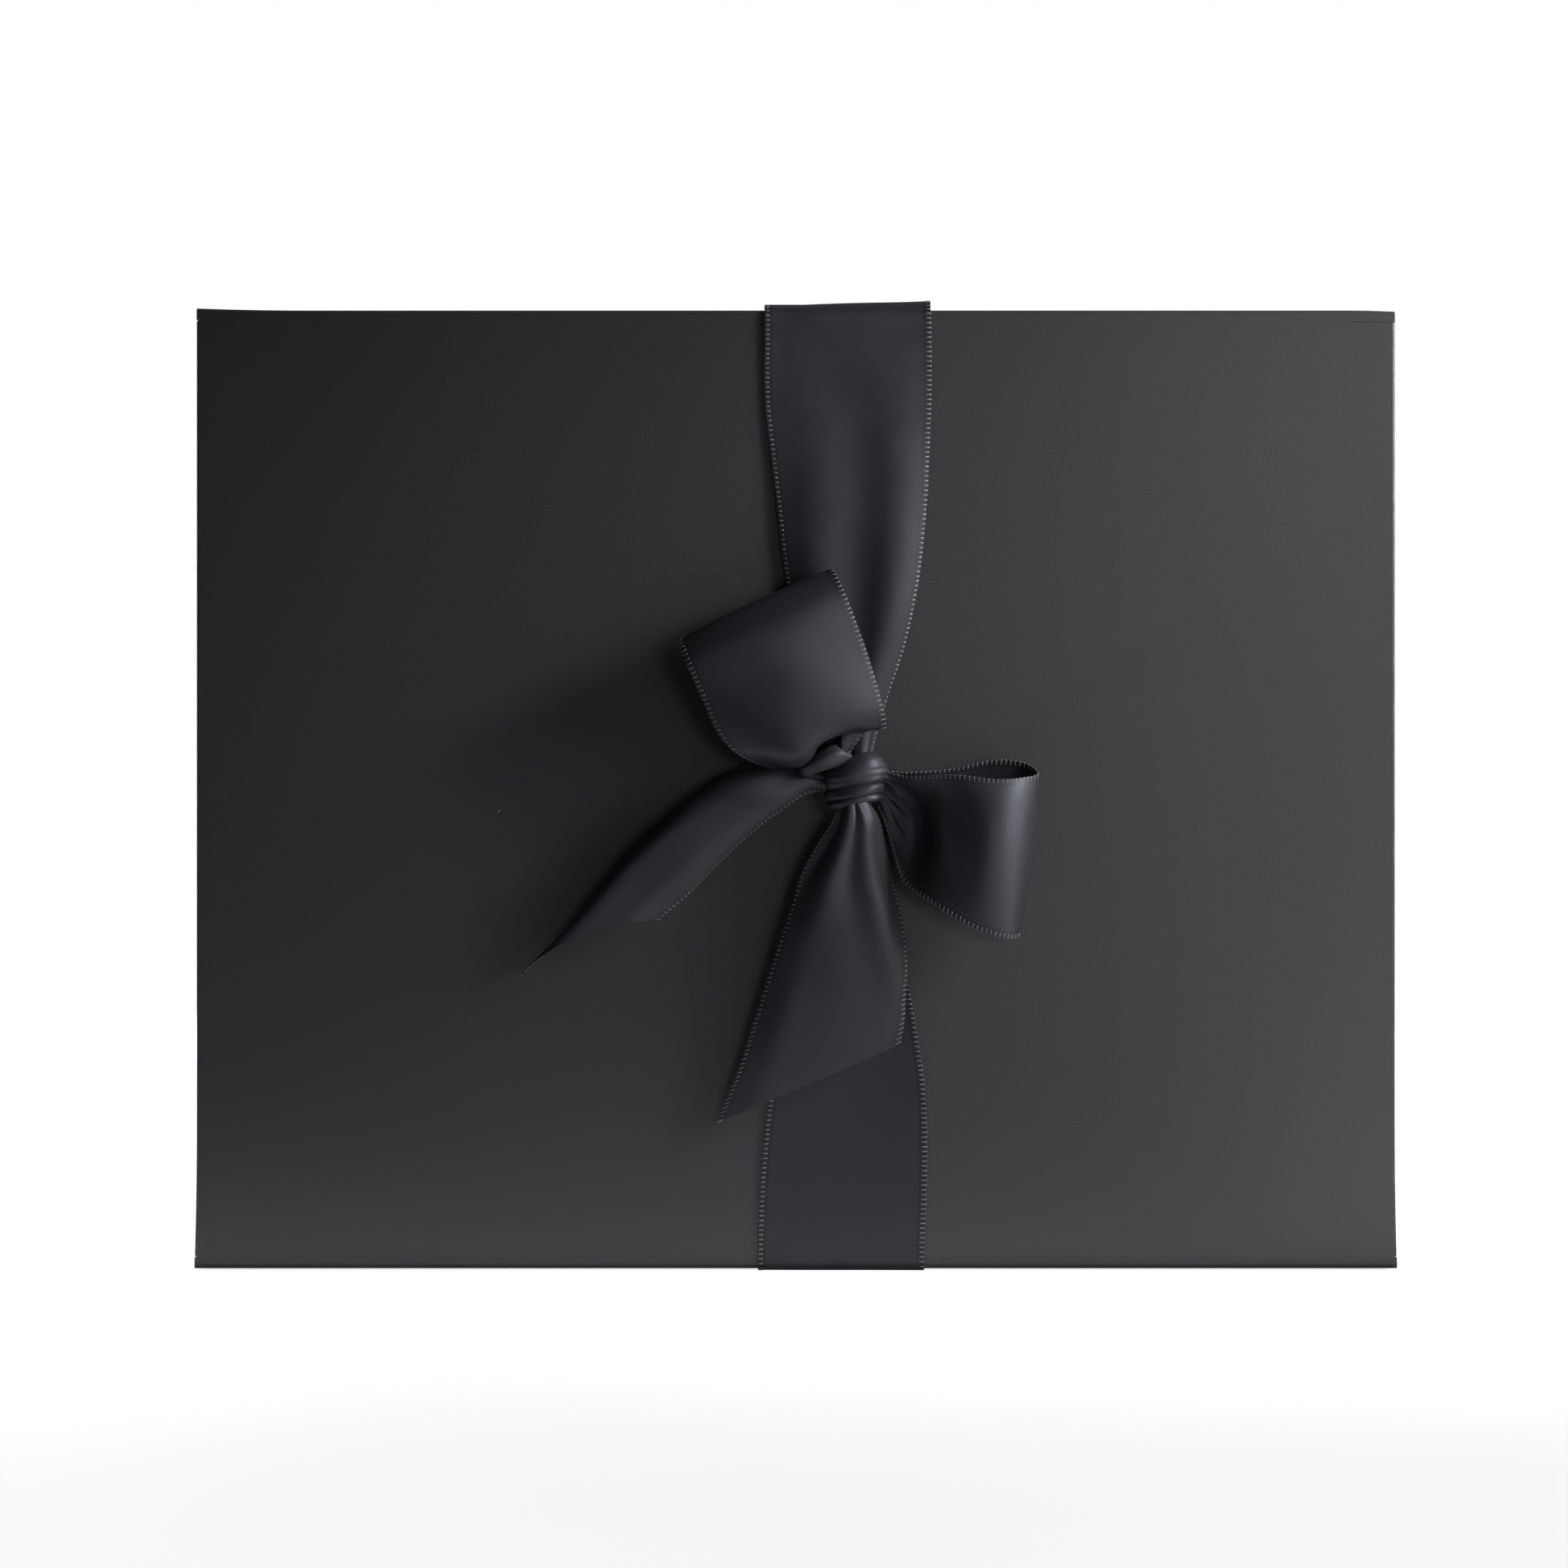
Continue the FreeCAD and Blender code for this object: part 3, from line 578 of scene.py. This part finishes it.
# middles that stand off the line between two edges
def archedMiddle(left, right, rises):
    left, right = np.array(left), np.array(right)
    centre = (left + right) / 2
    ahead = np.concatenate([centre[1:], centre[-1:]]) - np.concatenate([centre[:1], centre[:-1]])
    square = np.cross(right - left, ahead)
    square /= np.linalg.norm(square, axis=1, keepdims=True)
    return centre + square * np.array(rises)[:, None] * mm


# pleats run lengthwise and fade with the distance from the knot
def gather(rows, s):
    fromStart = runAlong(rows[:, rows.shape[1] // 2])
    fade = np.zeros(len(fromStart))
    if "start" in s["ends"]:
        fade = np.maximum(fade, np.exp(-(fromStart / s["reach"]) ** 2))
    if "end" in s["ends"]:
        fade = np.maximum(fade, np.exp(-((fromStart[-1] - fromStart) / s["reach"]) ** 2))
    u = np.linspace(0, 1, rows.shape[1])
    wave = np.cos(2 * math.pi * (s["pleats"] * u + s["phase"]))
    wave = wave + ribbon["finePleat"] * np.cos(ribbon["finePleats"] * math.pi * s["pleats"] * u)
    return rows + squareTo(rows) * (fade[:, None] * wave[None, :] * s["depth"])[:, :, None]


# a running mean, with the ends held
def evenOut(values, reach):
    count = 2 * reach + 1
    return np.convolve(np.pad(values, reach, mode="edge"), np.ones(count) / count, mode="valid")


# long soft folds; each point is a share of the length, a share across, a height in mm and a half width across
def raiseFolds(rows, folds, side=1):
    run = np.linalg.norm(np.diff(rows, axis=0), axis=2).mean(axis=1)
    along = np.concatenate([[0], np.cumsum(run)]) / run.sum()
    u = np.linspace(0, 1, rows.shape[1])[None, :]
    rise = np.zeros(rows.shape[:2])
    for fold in folds:
        points = np.array(fold)
        middle, height, half = (
            evenOut(np.interp(along, points[:, 0], points[:, k]), ribbon["foldEven"]) for k in (1, 2, 3)
        )
        rise += height[:, None] * np.exp(-((u - middle[:, None]) / half[:, None]) ** 2)
    return rows + squareTo(rows) * (rise * side * mm)[:, :, None]


# a soft unevenness, so that light breaks up on the satin
def crumple(rows, seed, amount):
    away = Vector((seed, seed * ribbon["seedSlide"], 0))
    bumps = np.array([
        [noise.noise(Vector(point) * ribbon["unevenScale"] + away) for point in row] for row in rows
    ])
    return rows + squareTo(rows) * (bumps * amount)[:, :, None]


# the edging's stitches: low bars across the edge band, pointed at both ends
# a corner is a share across the band and a share of the bar's width, a crest a share across the band
edging = {
    "pitch": 1.1 * mm, "bar": 0.74 * mm, "height": 0.28 * mm, "crests": (0.12, 0.72),
    "corners": [(-0.1, -0.28), (-0.1, 0.28), (0.5, 0.5), (0.94, 0.3), (0.94, -0.3), (0.5, -0.5)],
}


def barFaces(base):
    faces = []
    for low, order in ((6, 1), (8, -1)):
        high = low + 1
        sides = [(0, 1, low), (1, 2, high, low), (2, 3, high), (3, 4, high), (4, 5, low, high), (5, 0, low)]
        faces += [tuple(base + k for k in side[::order]) for side in sides]
    return faces


def stitchBars(rows, s):
    vertices, faces = [], []
    square = squareTo(rows)
    for outer, inner in ((0, 1), (-1, -2)):
        line = rows[:, outer]
        run = runAlong(line)
        stops = np.arange(s["pitch"] / 2, run[-1], s["pitch"])
        starts, ends, ups, aheads = (
            np.array([np.interp(stops, run, part[:, k]) for k in range(3)]).T
            for part in (line, rows[:, inner], square[:, outer], np.gradient(line, axis=0))
        )
        aheads = aheads / np.linalg.norm(aheads, axis=1, keepdims=True)
        for start, end, up, ahead in zip(starts, ends, ups, aheads):
            faces += barFaces(len(vertices))
            for share, aside in s["corners"]:
                vertices.append(start + (end - start) * share + ahead * aside * s["bar"])
            for side in (1, -1):
                for share in s["crests"]:
                    vertices.append(start + (end - start) * share + up * side * s["height"])
    return vertices, faces


def makeEdging(name, rows, s):
    vertices, faces = stitchBars(rows, s)
    mesh = bpy.data.meshes.new(name)
    mesh.from_pydata([tuple(v) for v in vertices], [], faces)
    piece = bpy.data.objects.new(name, mesh)
    scene.collection.objects.link(piece)
    pickOut(piece)
    bpy.ops.object.mode_set(mode="EDIT")
    bpy.ops.mesh.select_all(action="SELECT")
    bpy.ops.mesh.normals_make_consistent(inside=False)
    bpy.ops.object.mode_set(mode="OBJECT")
    bpy.ops.object.shade_smooth()
    return piece


def makeStrip(name, rows, s):
    rows = crumple(rows, s["seed"], s.get("uneven", ribbon["unevenness"]))
    piece = makeSheet(name, rows, ribbon["thickness"], ribbon["width"])
    trim = makeEdging(name + "Edging", rows, edging)
    for part, finish in ((piece, satin), (trim, thread)):
        dress(part, finish, "satin_ribbon", s.get("body"))
        if "bend" in s:
            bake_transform(part)
    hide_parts(*s["replaces"])


# the stretch over the back and the top: from under the base's edge to the front edge
backStretch = {
    "route": [(48.0, 0.2), (49.7, 0.22), (50.2, 0.8), (50.2, 8), (50.25, 60), (50.22, 120), (50.2, 180),
              (50.2, 214), (50.24, 219.3), (49.83, 220.3), (48.8, 220.7), (45, 220.68), (20, 220.68),
              (-10, 220.68), (-17, 220.72), (-26, 221.0), (-36, 221.6), (-44, 222.1)],
    "body": "tray", "seed": 1.3, "uneven": 0.05 * mm,
    "held": "stretched", "restsOn": ["spineCover", "baseCover"],
    "replaces": ["ribbon_back", "ribbon_top", "ribbon_tuck"],
}


def makeBackStretch(s):
    rails = []
    for side in (-0.5, 0.5):
        rail = []
        for y, z in s["route"]:
            share = min(1, max(0, z * mm / spineTop))
            x = ribbon["bottomX"] + (ribbon["topX"] - ribbon["bottomX"]) * share + side * ribbon["width"]
            rail.append((x, y * mm, z * mm))
        rails.append(rail)
    left, right = smoothRails(rails, ribbon["step"])
    u = np.linspace(0, 1, ribbon["across"])[None, :, None]
    makeStrip("ribbonBack", left[:, None] * (1 - u) + right[:, None] * u, s)


# the stretch over the front edge and down to the knot, a little slack at the top and more so on the right
upperStretch = {
    "edge": [(-40, 1.0), (-46.4, 1.0), (-48.5, 0.65), (-50.05, -0.3)], "slack": (0.9, 1.5, 2.05),
    "overSpine": 0.2 * mm, "offLine": (0, -1e-5, 1e-5), "foot": [(218.0, 0.62), (214.0, 0.58)],
    "left": [(-20.4, 88.5, 0.45), (-19.0, 75.4, 0.5), (-17.6, 64.2, 0.6), (-15.3, 45.8, 0.8),
             (-12.3, 32.6, 1.1), (-9.0, 21.4, 1.6), (-5.0, 9.0, 3.0), (-4.0, 4.0, 4.4)],
    "right": [(17.6, 88.5, 0.45), (17.1, 75.4, 0.5), (16.6, 64.2, 0.6), (14.5, 45.8, 0.9),
              (11.7, 32.6, 1.2), (8.0, 21.4, 1.7), (4.4, 9.0, 3.0), (3.6, 4.0, 4.4)],
    "rises": (0.2, 0.5, 0.9, 1.2, 1.5, 1.7, 1.3, 0.8),
    "gather": {"pleats": 2.2, "phase": 0.1, "depth": 0.5 * mm, "reach": 20 * mm, "ends": ("end",)},
    "folds": [
        [(0.15, 0.8, 0, 0.2), (0.4, 0.82, 1.5, 0.2), (0.7, 0.82, 2.4, 0.2), (1, 0.8, 0.8, 0.2)],
        [(0.2, 0.3, 0, 0.2), (0.45, 0.28, 0.9, 0.2), (0.7, 0.24, 1.2, 0.2), (1, 0.22, 0.4, 0.2)],
    ],
    "bend": {"bodies": ("tray", "lid"),
             "start": (0, -44.5 * mm, 222 * mm), "end": (0, lidFace - 0.6 * mm, 216 * mm)},
    "seed": 4.1, "held": "gathered", "restsOn": ["lidCover"],
    "replaces": ["ribbon_top_bend", "ribbon_upper_span"],
}


def makeUpperStretch(s):
    top = spineTop + s["overSpine"]
    rails = []
    for side, slack in zip((-0.5, 0, 0.5), s["slack"]):
        x = ribbon["topX"] + side * ribbon["width"]
        rail = [(x, y * mm, top + share * slack * mm) for y, share in s["edge"]]
        rail += [(x, lidFace - out * mm, z * mm) for z, out in s["foot"]]
        rails.append(rail)
    left, right = fromKnot(s["left"]), fromKnot(s["right"])
    middle = [tuple(point) for point in archedMiddle(right, left, s["rises"])]
    rails = [rails[0] + left, rails[1] + middle, rails[2] + right]
    left, middle, right = smoothRails(rails, ribbon["step"])
    middle = middle + np.array(s["offLine"])  # never quite straight, so an arc can be drawn
    rows = gather(arcAcross(left, middle, right, ribbon["across"]), s["gather"])
    makeStrip("ribbonUpper", raiseFolds(rows, s["folds"], side=-1), s)


# the stretch from the knot to the bottom edge and on under the flap
lowerStretch = {
    "left": [(-4.0, -4.0, 4.4), (-5.0, -9.0, 3.0), (-9.0, -22.0, 1.6), (-13.0, -38.0, 1.0),
             (-16.5, -55.0, 0.7), (-19.4, -72.0, 0.5), (-21.4, -92.0, 0.4)],
    "right": [(3.6, -4.0, 4.4), (4.4, -9.0, 3.0), (7.5, -22.0, 1.6), (10.8, -38.0, 1.0),
              (14.0, -55.0, 0.7), (16.3, -72.0, 0.5), (16.6, -92.0, 0.4)],
    "rises": (0.8, 1.3, 1.7, 1.4, 0.9, 0.5, 0.2),
    "foot": [(-50.3, 6.0), (-50.26, 1.7), (-49.83, 0.6), (-48.8, 0.22), (-46, 0.2), (-20, 0.2), (20, 0.2),
             (46, 0.2)],
    "offLine": (0, -1e-5, -1e-5), "lowest": 0.19 * mm, "uneven": 0.12 * mm,
    "gather": {"pleats": 2.3, "phase": 0.35, "depth": 0.5 * mm, "reach": 20 * mm, "ends": ("start",)},
    "bend": {"bodies": ("lid", "flap"), "start": (0, lidFace, 5.2 * mm), "end": (0, -45.6 * mm, 0.2 * mm)},
    "seed": 7.7, "held": "gathered", "restsOn": ["lidCover", "flapCover"],
    "replaces": ["ribbon_lower_span", "ribbon_bottom_turn", "ribbon_under"],
}


def makeLowerStretch(s):
    left, right = fromKnot(s["left"]), fromKnot(s["right"])
    middle = [tuple(point) for point in archedMiddle(left, right, s["rises"])]
    rails = []
    for side, rail in zip((-0.5, 0, 0.5), (left, middle, right)):
        x = ribbon["bottomX"] + side * ribbon["width"]
        rails.append(rail + [(x, y * mm, z * mm) for y, z in s["foot"]])
    left, middle, right = smoothRails(rails, ribbon["step"])
    rows = gather(arcAcross(left, middle + np.array(s["offLine"]), right, ribbon["across"]), s["gather"])
    rows[:, :, 2] = np.maximum(rows[:, :, 2], s["lowest"])
    makeStrip("ribbonLower", rows, s)


# the bow's own strips; each point is right of the knot, above it and out from the lid, in mm
bowStrips = {
    "upperLoop": {
        "left": [(-6, 3.6, 8.6), (-17, 3.6, 9.8), (-24.5, 5.6, 12.2), (-30.2, 10.4, 14.2),
                 (-34.6, 19.4, 16.2), (-38.6, 28.6, 16.8), (-39.9, 32.2, 13.2), (-38.8, 30.6, 8.4),
                 (-28, 19, 5.8), (-12, 8.6, 6.2), (-4.6, 4, 6.8)],
        "right": [(-1, 5.2, 9), (4, 8.2, 11.8), (7.3, 11.4, 14), (5.8, 19, 14.2),
                  (2.6, 30, 14.8), (-2.6, 43.6, 15.6), (-5, 48.6, 12.4), (-4.4, 46.6, 7.8),
                  (-3, 30, 5.6), (-1, 12, 6.2), (-0.6, 5, 6.8)],
        "rises": (0.6, 1.8, 3.2, 3.8, 3.0, 1.8, 0.9, 0.4, 0.3, 0.3, 0.2),
        "gather": {"pleats": 2.2, "phase": 0.2, "depth": 0.5 * mm, "reach": 9 * mm, "ends": ("start", "end")},
        "folds": [
            # the hollow beside the knot
            [(0, 0.64, -4.5, 0.28), (0.04, 0.7, -9, 0.29), (0.085, 0.74, -11, 0.26),
             (0.125, 0.76, -7.5, 0.22), (0.16, 0.78, 0, 0.17)],
            [(0.02, 0.3, 0.6, 0.16), (0.12, 0.34, 1.0, 0.18), (0.3, 0.42, 0, 0.2)],
            [(0.2, 0.62, 0, 0.2), (0.32, 0.56, 0.7, 0.2), (0.45, 0.5, 0, 0.2)],
        ],
        "seed": 11.0, "replaces": ["bow_upper_loop"],
    },
    "rightLoop": {
        "left": [(5.5, 3.4, 8.2), (9, 2.0, 8.6), (14, 1.6, 11), (22, 1.9, 15.2), (31.7, 0.9, 15),
                 (38.5, 1.3, 12), (41.9, 2.4, 8.4), (39.6, 4.4, 5.8), (33, 5.3, 4.4), (22, 3.2, 3.8),
                 (11, 2.6, 4.8), (6.2, 3.0, 5.8)],
        "right": [(5.5, -5.2, 7.4), (8, -13, 7.6), (11, -22, 9.2), (18.5, -27.6, 13.2), (27.5, -33, 13.8),
                  (34.6, -35.2, 11.8), (37.4, -34.9, 8.4), (35.8, -33.2, 6), (29, -29.8, 4.2), (18, -21, 3.4),
                  (10, -10.5, 4.2), (6.4, -5, 5.8)],
        "rises": (0.2, -3.4, -6.2, -2.2, 2.6, 2.0, 1.0, 0.4, 0.3, 0.3, 0.3, 0.2),
        "gather": {"pleats": 4.4, "phase": 0.6, "depth": 0.6 * mm, "reach": 9 * mm, "ends": ("start", "end")},
        "folds": [
            [(0.1, 0.08, 0, 0.1), (0.18, 0.22, 1.1, 0.12), (0.25, 0.38, 0.9, 0.14), (0.34, 0.6, 0, 0.2)],
            [(0.03, 0.7, 0.4, 0.1), (0.1, 0.66, 0.8, 0.08), (0.16, 0.62, 0, 0.1)],
        ],
        "seed": 15.0, "replaces": ["bow_right_loop"],
    },
    "leftTail": {
        "left": [(-6.4, -1.6, 8.8), (-11, -2.4, 9.6), (-16.8, -6.3, 9), (-23.5, -11.6, 8), (-30.2, -17.6, 7),
                 (-36.6, -23.8, 6.2), (-40.5, -27.6, 5.6), (-42.6, -29.4, 5.4), (-44.3, -30.9, 5.2)],
        "middle": [(-7, 1.8, 8.6), (-15, 3.6, 9.4), (-26, 2.4, 10.6), (-36, -3.6, 11.2), (-45, -11.2, 11),
                   (-53, -19.2, 10), (-58, -26, 8.6), (-60.4, -30.6, 7.6), (-62, -34.6, 6.6)],
        "right": [(-6.4, -1.4, 6), (-11, -3, 3.2), (-18.5, -6.4, 1.6), (-27.5, -13, 1), (-39, -20.5, 0.9),
                  (-52, -27.4, 1), (-63, -33.4, 1.4), (-70.4, -38.6, 2), (-76, -43.4, 2.6)],
        "gather": {"pleats": 5.2, "phase": 0.3, "depth": 0.5 * mm, "reach": 12 * mm, "ends": ("start",)},
        "folds": [
            [(0.2, 0.1, 0.3, 0.12), (0.45, 0.26, -0.9, 0.14), (0.65, 0.36, -0.8, 0.14), (0.85, 0.4, 0, 0.14)],
            [(0.6, 0.1, 0, 0.12), (0.78, 0.16, 0.7, 0.12), (1, 0.2, 0.5, 0.12)],
        ],
        "seed": 19.0, "replaces": ["bow_left_tail"],
    },
    "centreTail": {
        "left": [(3.4, -4.4, 10), (5.4, -7.6, 9.2), (6.9, -14.5, 7.2), (8.4, -21.8, 5.8), (10.8, -30.5, 5),
                 (11.9, -40.2, 4.6), (11.6, -48, 4.4), (11.3, -54.5, 4.2), (10.4, -59.6, 4)],
        "right": [(-3.4, -4.4, 10.4), (-5.2, -8.4, 10.4), (-9, -14.5, 9.4), (-12.3, -20.9, 8.8),
                  (-14.7, -29.4, 8), (-18.6, -41.2, 7), (-22.5, -53.6, 6), (-26.4, -65.4, 5),
                  (-31.3, -77.5, 3.6)],
        "rises": (0.8, 1.8, 3.0, 3.8, 4.2, 3.8, 3.0, 2.4, 1.8),
        "gather": {"pleats": 2.1, "phase": 0.5, "depth": 0.3 * mm, "reach": 9 * mm, "ends": ("start",)},
        "folds": [
            # the ridge that runs out at the right edge
            [(0, 0.36, 1.6, 0.16), (0.2, 0.33, 2.4, 0.13), (0.4, 0.25, 2.0, 0.12),
             (0.62, 0.1, 1.2, 0.13), (0.82, 0.02, 0.2, 0.15)],
            [(0, 0.62, 1.2, 0.14), (0.18, 0.63, 1.8, 0.13), (0.38, 0.72, 1.1, 0.14), (0.56, 0.8, 0, 0.15)],
            [(0, 0.87, -1.0, 0.1), (0.15, 0.86, -1.8, 0.1), (0.3, 0.91, -1.1, 0.1), (0.45, 0.95, 0, 0.1)],
            [(0.02, 0.1, 0.4, 0.08), (0.2, 0.08, 0.8, 0.08), (0.36, 0.05, 0, 0.08)],
            [(0.5, 0.8, 0, 0.12), (0.72, 0.8, 0.8, 0.12), (1, 0.78, 0.2, 0.12)],
        ],
        "seed": 23.0, "replaces": ["bow_center_tail"],
    },
}


def makeBowStrip(name, s):
    left, right = fromKnot(s["left"]), fromKnot(s["right"])
    if "middle" in s:
        middle = fromKnot(s["middle"])
    else:
        middle = archedMiddle(left, right, s["rises"])
    left, middle, right = smoothRails([left, middle, right], ribbon["step"])
    rows = gather(arcAcross(left, middle, right, ribbon["across"]), s["gather"])
    facts = {"body": "lid", "held": "gathered", "restsOn": ["knotWrap"]}
    makeStrip(name, raiseFolds(rows, s["folds"]), {**facts, **s})


makeBackStretch(backStretch)
makeUpperStretch(upperStretch)
makeLowerStretch(lowerStretch)
for stripName, stripSettings in bowStrips.items():
    makeBowStrip(stripName, stripSettings)
print("ribbon strips made")


# knot: a wrap of ribbon squeezed into one broad fold over two narrow ones
# a fold is its place above the middle, its half height and its share of the knot's reach
knotWrap = {
    "wide": 7.3, "deep": 5.6, "out": 7.6, "high": 6.2, "low": -5.4, "turns": 96, "levels": 72, "tilt": 0.14,
    "folds": [(2.2, 4.2, 1.0), (-2.0, 1.9, 0.95), (-4.0, 1.5, 0.88)], "roundness": 0.32, "leastReach": 0.35,
    "ripple": 0.012, "ripples": 4.2, "drift": 0.9, "driftFrom": 0.6, "lump": 0.03, "lumps": 3,
}


def knotProfile(height, s):
    reach = 0.0
    for middle, half, size in s["folds"]:
        share = 1 - ((height - middle) / half) ** 2
        if share > 0:
            reach = max(reach, size * share ** s["roundness"])
    return max(reach, s["leastReach"])


def makeKnot(s):
    heights = np.linspace(s["low"], s["high"], s["levels"])
    rows = []
    for angle in np.linspace(0, 2 * math.pi, s["turns"], endpoint=False):
        row = []
        for height in heights:
            lean = height + s["tilt"] * s["wide"] * math.cos(angle)
            drift = s["drift"] * math.sin(angle + s["driftFrom"])
            crease = s["ripple"] * math.sin(s["ripples"] * height + drift)
            lump = s["lump"] * math.sin(s["lumps"] * angle + height)
            reach = knotProfile(height, s) * (1 + crease + lump)
            out = s["out"] + s["deep"] * reach * math.sin(angle)
            row.append((s["wide"] * reach * math.cos(angle), lean, out))
        rows.append(fromKnot(row))
    rows.append(rows[0])
    piece = makeSheet("knotWrap", np.array(rows), ribbon["thickness"], ribbon["width"])
    pickOut(piece)
    bpy.ops.object.mode_set(mode="EDIT")
    bpy.ops.mesh.select_all(action="SELECT")
    bpy.ops.mesh.remove_doubles(threshold=samePlace)
    bpy.ops.object.mode_set(mode="OBJECT")
    return piece


# the gathered end that comes out over the knot's upper left
knotRoll = {
    "upper": [(-1.5, 7.6, 9.5), (-4, 8.8, 11.5), (-7, 7.6, 12.2), (-10, 5.4, 11.5), (-12.6, 3.2, 9)],
    "lower": [(-1.5, 3.4, 9.5), (-4.4, 3.6, 11.5), (-8, 2.6, 12), (-11, 1.6, 11), (-13, 1.6, 9)],
    "rises": (1.2, 1.6, 1.6, 1.3, 0.8), "step": 0.3 * mm, "across": 21,
    "folds": [[(0, 0.6, 0.3, 0.12), (0.5, 0.55, 0.4, 0.12), (1, 0.5, 0.2, 0.12)]],
}


def makeKnotRoll(s):
    lower, upper = fromKnot(s["lower"]), fromKnot(s["upper"])
    rails = smoothRails([lower, archedMiddle(lower, upper, s["rises"]), upper], s["step"])
    rows = raiseFolds(arcAcross(*rails, s["across"]), s["folds"])
    return makeSheet("knotRoll", rows, ribbon["thickness"], ribbon["width"])


knot = makeKnot(knotWrap)
roll = makeKnotRoll(knotRoll)
pickOut(knot)
roll.select_set(True)
bpy.ops.object.join()
dress(knot, satin, "satin_ribbon", "lid", "bow_knot")
print("knot made")


# floor, lights and surroundings
studio = {
    "floorSize": 8.0, "floorTone": (0.8, 0.8, 0.8), "nearGlow": 0.8, "farGlow": 1.0, "given": 0.066,
    "glowFrom": 0.35, "glowTo": 1.1, "backdrop": 1.0, "ambient": 0.01,
    "lights": {
        "side": {"place": (0.6, -0.26, 0.3), "aim": (0.14, -0.05, 0.15), "wide": 0.25, "high": 0.35,
                 "power": 0.7, "spread": 60},
        "corner": {"place": (0.42, -0.16, 0.33), "aim": (0.14, -0.05, 0.22), "wide": 0.12, "high": 0.12,
                   "power": 0.4, "spread": 40},
        "low": {"place": (0.45, -0.95, 0.12), "aim": (0.2, -0.05, 0.02), "wide": 0.5, "high": 0.2,
                "power": 0.2, "spread": 40},
        "floorLeft": {"place": (0.1, -0.26, 0.001), "aim": (0.1, -0.26, 1), "wide": 0.6, "high": 0.34,
                      "power": 0.08, "spread": 180},
        "floorRight": {"place": (0.32, -0.26, 0.001), "aim": (0.32, -0.26, 1), "wide": 0.4, "high": 0.34,
                       "power": 1.4, "spread": 180},
        "floorEdge": {"place": (0.14, -0.082, 0.0004), "aim": (0.14, -0.082, 1), "wide": 0.68, "high": 0.058,
                      "power": 0.25, "spread": 180},
        "top": {"place": (0.1, 0.25, 1.4), "aim": (0, 0, 0), "wide": 1.6, "high": 1.6,
                "power": 2.5, "spread": 180},
        "rear": {"place": (-0.35, 1.3, 0.22), "aim": (0, 0, 0.12), "wide": 0.6, "high": 0.3,
                 "power": 3.0, "spread": 110},
        "left": {"place": (-1.1, 0.4, 0.22), "aim": (-0.14, 0, 0.12), "wide": 0.4, "high": 0.3,
                 "power": 1.0, "spread": 110},
    },
}


def makeFloor(s):
    material, tree, shader = newMaterial("paleFloor", Roughness=0.85, Specular_IOR_Level=0.1)
    shader.inputs["Base Color"].default_value = (*s["floorTone"], 1)
    shader.inputs["Emission Color"].default_value = (1, 1, 1, 1)
    away = addNode(tree, "ShaderNodeVectorMath", {0: objectPlace(tree)}, operation="LENGTH").outputs["Value"]
    glow = ramp(tree, away, s["glowFrom"], s["glowTo"], s["nearGlow"], s["farGlow"])
    isCamera = addNode(tree, "ShaderNodeLightPath").outputs["Is Camera Ray"]
    # the floor looks bright but gives the box little light
    share = ramp(tree, isCamera, 0, 1, s["given"], 1)
    tree.links.new(combine(tree, "MULTIPLY", glow, share), shader.inputs["Emission Strength"])
    bpy.ops.object.select_all(action="DESELECT")
    bpy.ops.mesh.primitive_plane_add(size=s["floorSize"], location=(0, 0, 0))
    floor = bpy.context.object
    floor.name = "studioFloor"
    floor.data.materials.append(material)


def addLight(name, s):
    data = bpy.data.lights.new(name + "Softbox", "AREA")
    data.shape = "RECTANGLE"
    data.size = s["wide"]
    data.size_y = s["high"]
    data.energy = s["power"]
    data.spread = math.radians(s["spread"])
    lamp = bpy.data.objects.new(name + "Softbox", data)
    lamp.location = s["place"]
    lamp.rotation_euler = (Vector(s["aim"]) - Vector(s["place"])).to_track_quat("-Z", "Y").to_euler()
    lamp.visible_camera = False
    scene.collection.objects.link(lamp)


# white where the camera looks past the box, dim elsewhere
def addSurroundings(s):
    world = bpy.data.worlds.new("studioWhite")
    world.use_nodes = True
    scene.world = world
    tree = world.node_tree
    tree.nodes.clear()
    seen = addNode(tree, "ShaderNodeBackground", {"Color": (1, 1, 1, 1), "Strength": s["backdrop"]})
    around = addNode(tree, "ShaderNodeBackground", {"Color": (1, 1, 1, 1), "Strength": s["ambient"]})
    isCamera = addNode(tree, "ShaderNodeLightPath").outputs["Is Camera Ray"]
    mix = addNode(tree, "ShaderNodeMixShader", {0: isCamera, 1: around.outputs[0], 2: seen.outputs[0]})
    output = addNode(tree, "ShaderNodeOutputWorld")
    tree.links.new(mix.outputs[0], output.inputs["Surface"])


makeFloor(studio)
for lightName, lightSettings in studio["lights"].items():
    addLight(lightName, lightSettings)
addSurroundings(studio)
print("studio set")
